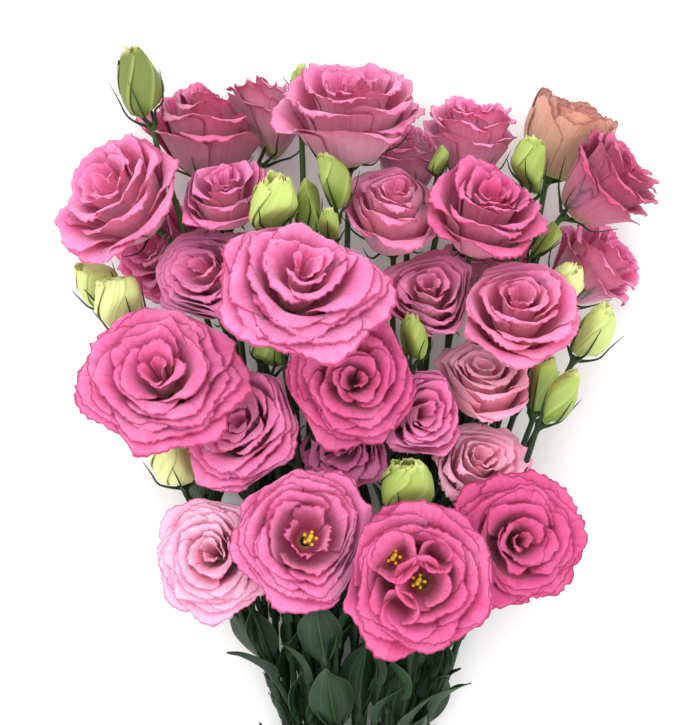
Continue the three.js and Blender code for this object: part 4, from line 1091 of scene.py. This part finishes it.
def stamen_parts(head):
    floor = 0.44 * head["depth"] + GAP
    tufts = [(0, 0)]
    if head["name"] in INNER_CUPS:
        tufts.append(INNER_CUPS[head["name"]][1][:2])
    parts = []

    def grown(stops, anther):
        """A round bar through stops: how far out from the style, at what angle, how high and how thick."""
        rows = [(*(on_head(head, *stop[:3]) + side_step), stop[3]) for stop in stops]
        fine = refined(np.array(rows), 5)
        points, quads, ends = tube(fine[:, :3], fine[:, 3], 10)
        parts.append((points, quads, ends, {"anther": anther}))

    for sideways, up in tufts:
        side_step = sideways * head["u"] + up * head["v"]
        style = [(0, 0, floor, 2.4), (0, 0, floor + 4, 1.6), (0, 0, floor + 8, 1.0), (0, 0, floor + 9.5, 1.1)]
        grown(style, 0.0)
        for side in (-1, 1):
            lobe = [(side * 1.1, 1.0, floor + 10.4, 1.3), (side * 1.9, 1.0, floor + 11.2, 0.7)]
            grown([(0, 0, floor + 9.2, 0.9)] + lobe, 0.6)
        for k in range(5):
            angle = 2 * math.pi * k / 5
            rise = floor + 11 * (0.72 + 0.25 * draw(head["index"], k))
            thread = [(1.2, angle, floor + 0.6, 0.45), (2.2, angle, rise - 3, 0.35), (2.9, angle, rise, 0.35)]
            grown(thread, 0.2)
            anther = ((2.8, -0.6, 0.3), (3.0, 0.2, 0.9), (3.3, 1.8, 0.8), (3.5, 2.8, 0.3))
            grown([(out, angle, rise + up_from_thread, thick) for out, up_from_thread, thick in anther], 1.0)
    return parts


for number in ("23", "25"):
    parts = stamen_parts(heads[f"bloom_{number}"])
    plant_piece(f"heart_{number}", parts, stamen_finish.material, [f"stamens_{number}"])


# ---- The band --------------------------------------------------------------------------------
# One flat natural-rubber band, slipped over the gathered stems. It is matt, tan, slightly dusty, rounded
# along its edges, and its own pull alone holds the bunch together.
BAND_WIDTH = 14.0
BAND_AROUND = 96
BAND_CORNER = 0.45

band_finish = Finish("band_rubber", 0.75, 0.3)
dust = band_finish.noise(400.0, 5.0)
smear = band_finish.noise(60.0, 3.0)
band_finish.paint(
    tone(176, 150, 116),
    (band_finish.between(smear, 0.3, 0.7), tone(200, 176, 142)),
    (band_finish.between(dust, 0.5, 0.75, 0.0, 0.4), tone(222, 204, 176)),
)
band_finish.bump(dust, 0.3, 0.0003)

inner = BAND_OUTER - BAND_THICKNESS
outer = BAND_Z - 0.02
profile = []
for y, r, first in (
    (BAND_WIDTH / 2 - BAND_CORNER, outer - BAND_CORNER, 0),
    (-BAND_WIDTH / 2 + BAND_CORNER, outer - BAND_CORNER, 90),
    (-BAND_WIDTH / 2 + BAND_CORNER, inner + BAND_CORNER, 180),
    (BAND_WIDTH / 2 - BAND_CORNER, inner + BAND_CORNER, 270),
):
    for step in range(5):
        angle = math.radians(first + 22.5 * step)
        profile.append((y + BAND_CORNER * math.cos(angle), r + BAND_CORNER * math.sin(angle)))
profile = np.array(profile)
turn = 2 * np.pi * np.arange(BAND_AROUND) / BAND_AROUND
ring_x = BAND_X + profile[None, :, 1] * np.cos(turn)[:, None]
ring_z = BAND_Z + profile[None, :, 1] * np.sin(turn)[:, None]
ring_y = BAND_Y + np.broadcast_to(profile[None, :, 0], ring_x.shape)
grid = np.arange(ring_x.size).reshape(ring_x.shape)
ahead = np.roll(grid, -1, axis=0)
faces = np.stack((grid, ahead, np.roll(ahead, -1, axis=1), np.roll(grid, -1, axis=1)), axis=-1)
ring_points = np.stack((ring_x, ring_y, ring_z), axis=-1).reshape(-1, 3)
band_part = (ring_points, faces.reshape(-1, 4), NO_TRIANGLES, {})
plant_piece("tie_band", [band_part], band_finish.material, ["band"])


# ---- The table, the light and the camera -----------------------------------------------------
# The bunch lies on a plain white table under broad soft light, and is seen from straight above, from far
# enough away that its near and far blooms keep their true sizes.
TABLE_REACH = 3
CAMERA_HEIGHT = 2.5
VIEW_DISTANCE = 2.44  # from the camera down to the middle of the blooms
VIEW_TALL = 0.3625  # how much of the bunch the view takes in, along its longer side
VIEW_MIDDLE = (-2.5, 181.25)
SENSOR = 36

table_mesh = bpy.data.meshes.new("table")
table_corners = [(x * TABLE_REACH, y * TABLE_REACH, 0) for x, y in ((-1, -1), (1, -1), (1, 1), (-1, 1))]
table_mesh.from_pydata(table_corners, [], [(0, 1, 2, 3)])
table = bpy.data.objects.new("table", table_mesh)
bpy.context.scene.collection.objects.link(table)
table_finish = Finish("table_white", 0.9, 0.1)
table_finish.paint((0.94, 0.94, 0.94))
table_mesh.materials.append(table_finish.material)

sun_light = bpy.data.lights.new("window", "SUN")
sun_light.energy = 0.9
sun_light.angle = math.radians(50)
sun = bpy.data.objects.new("window", sun_light)
sun.rotation_euler = (math.radians(-16), math.radians(-12), 0)
bpy.context.scene.collection.objects.link(sun)
world = bpy.data.worlds.new("studio")
world.use_nodes = True
world.node_tree.nodes["Background"].inputs["Color"].default_value = (1, 1, 1, 1)
world.node_tree.nodes["Background"].inputs["Strength"].default_value = 1.5
bpy.context.scene.world = world
bpy.context.scene.view_settings.view_transform = "Standard"

camera_data = bpy.data.cameras.new("camera")
camera = bpy.data.objects.new("camera", camera_data)
camera.location = (*((VIEW_MIDDLE + shift[:2]) / 1000), CAMERA_HEIGHT)
camera_data.sensor_width = SENSOR
camera_data.lens = SENSOR * VIEW_DISTANCE / VIEW_TALL
bpy.context.scene.collection.objects.link(camera)
bpy.context.scene.camera = camera
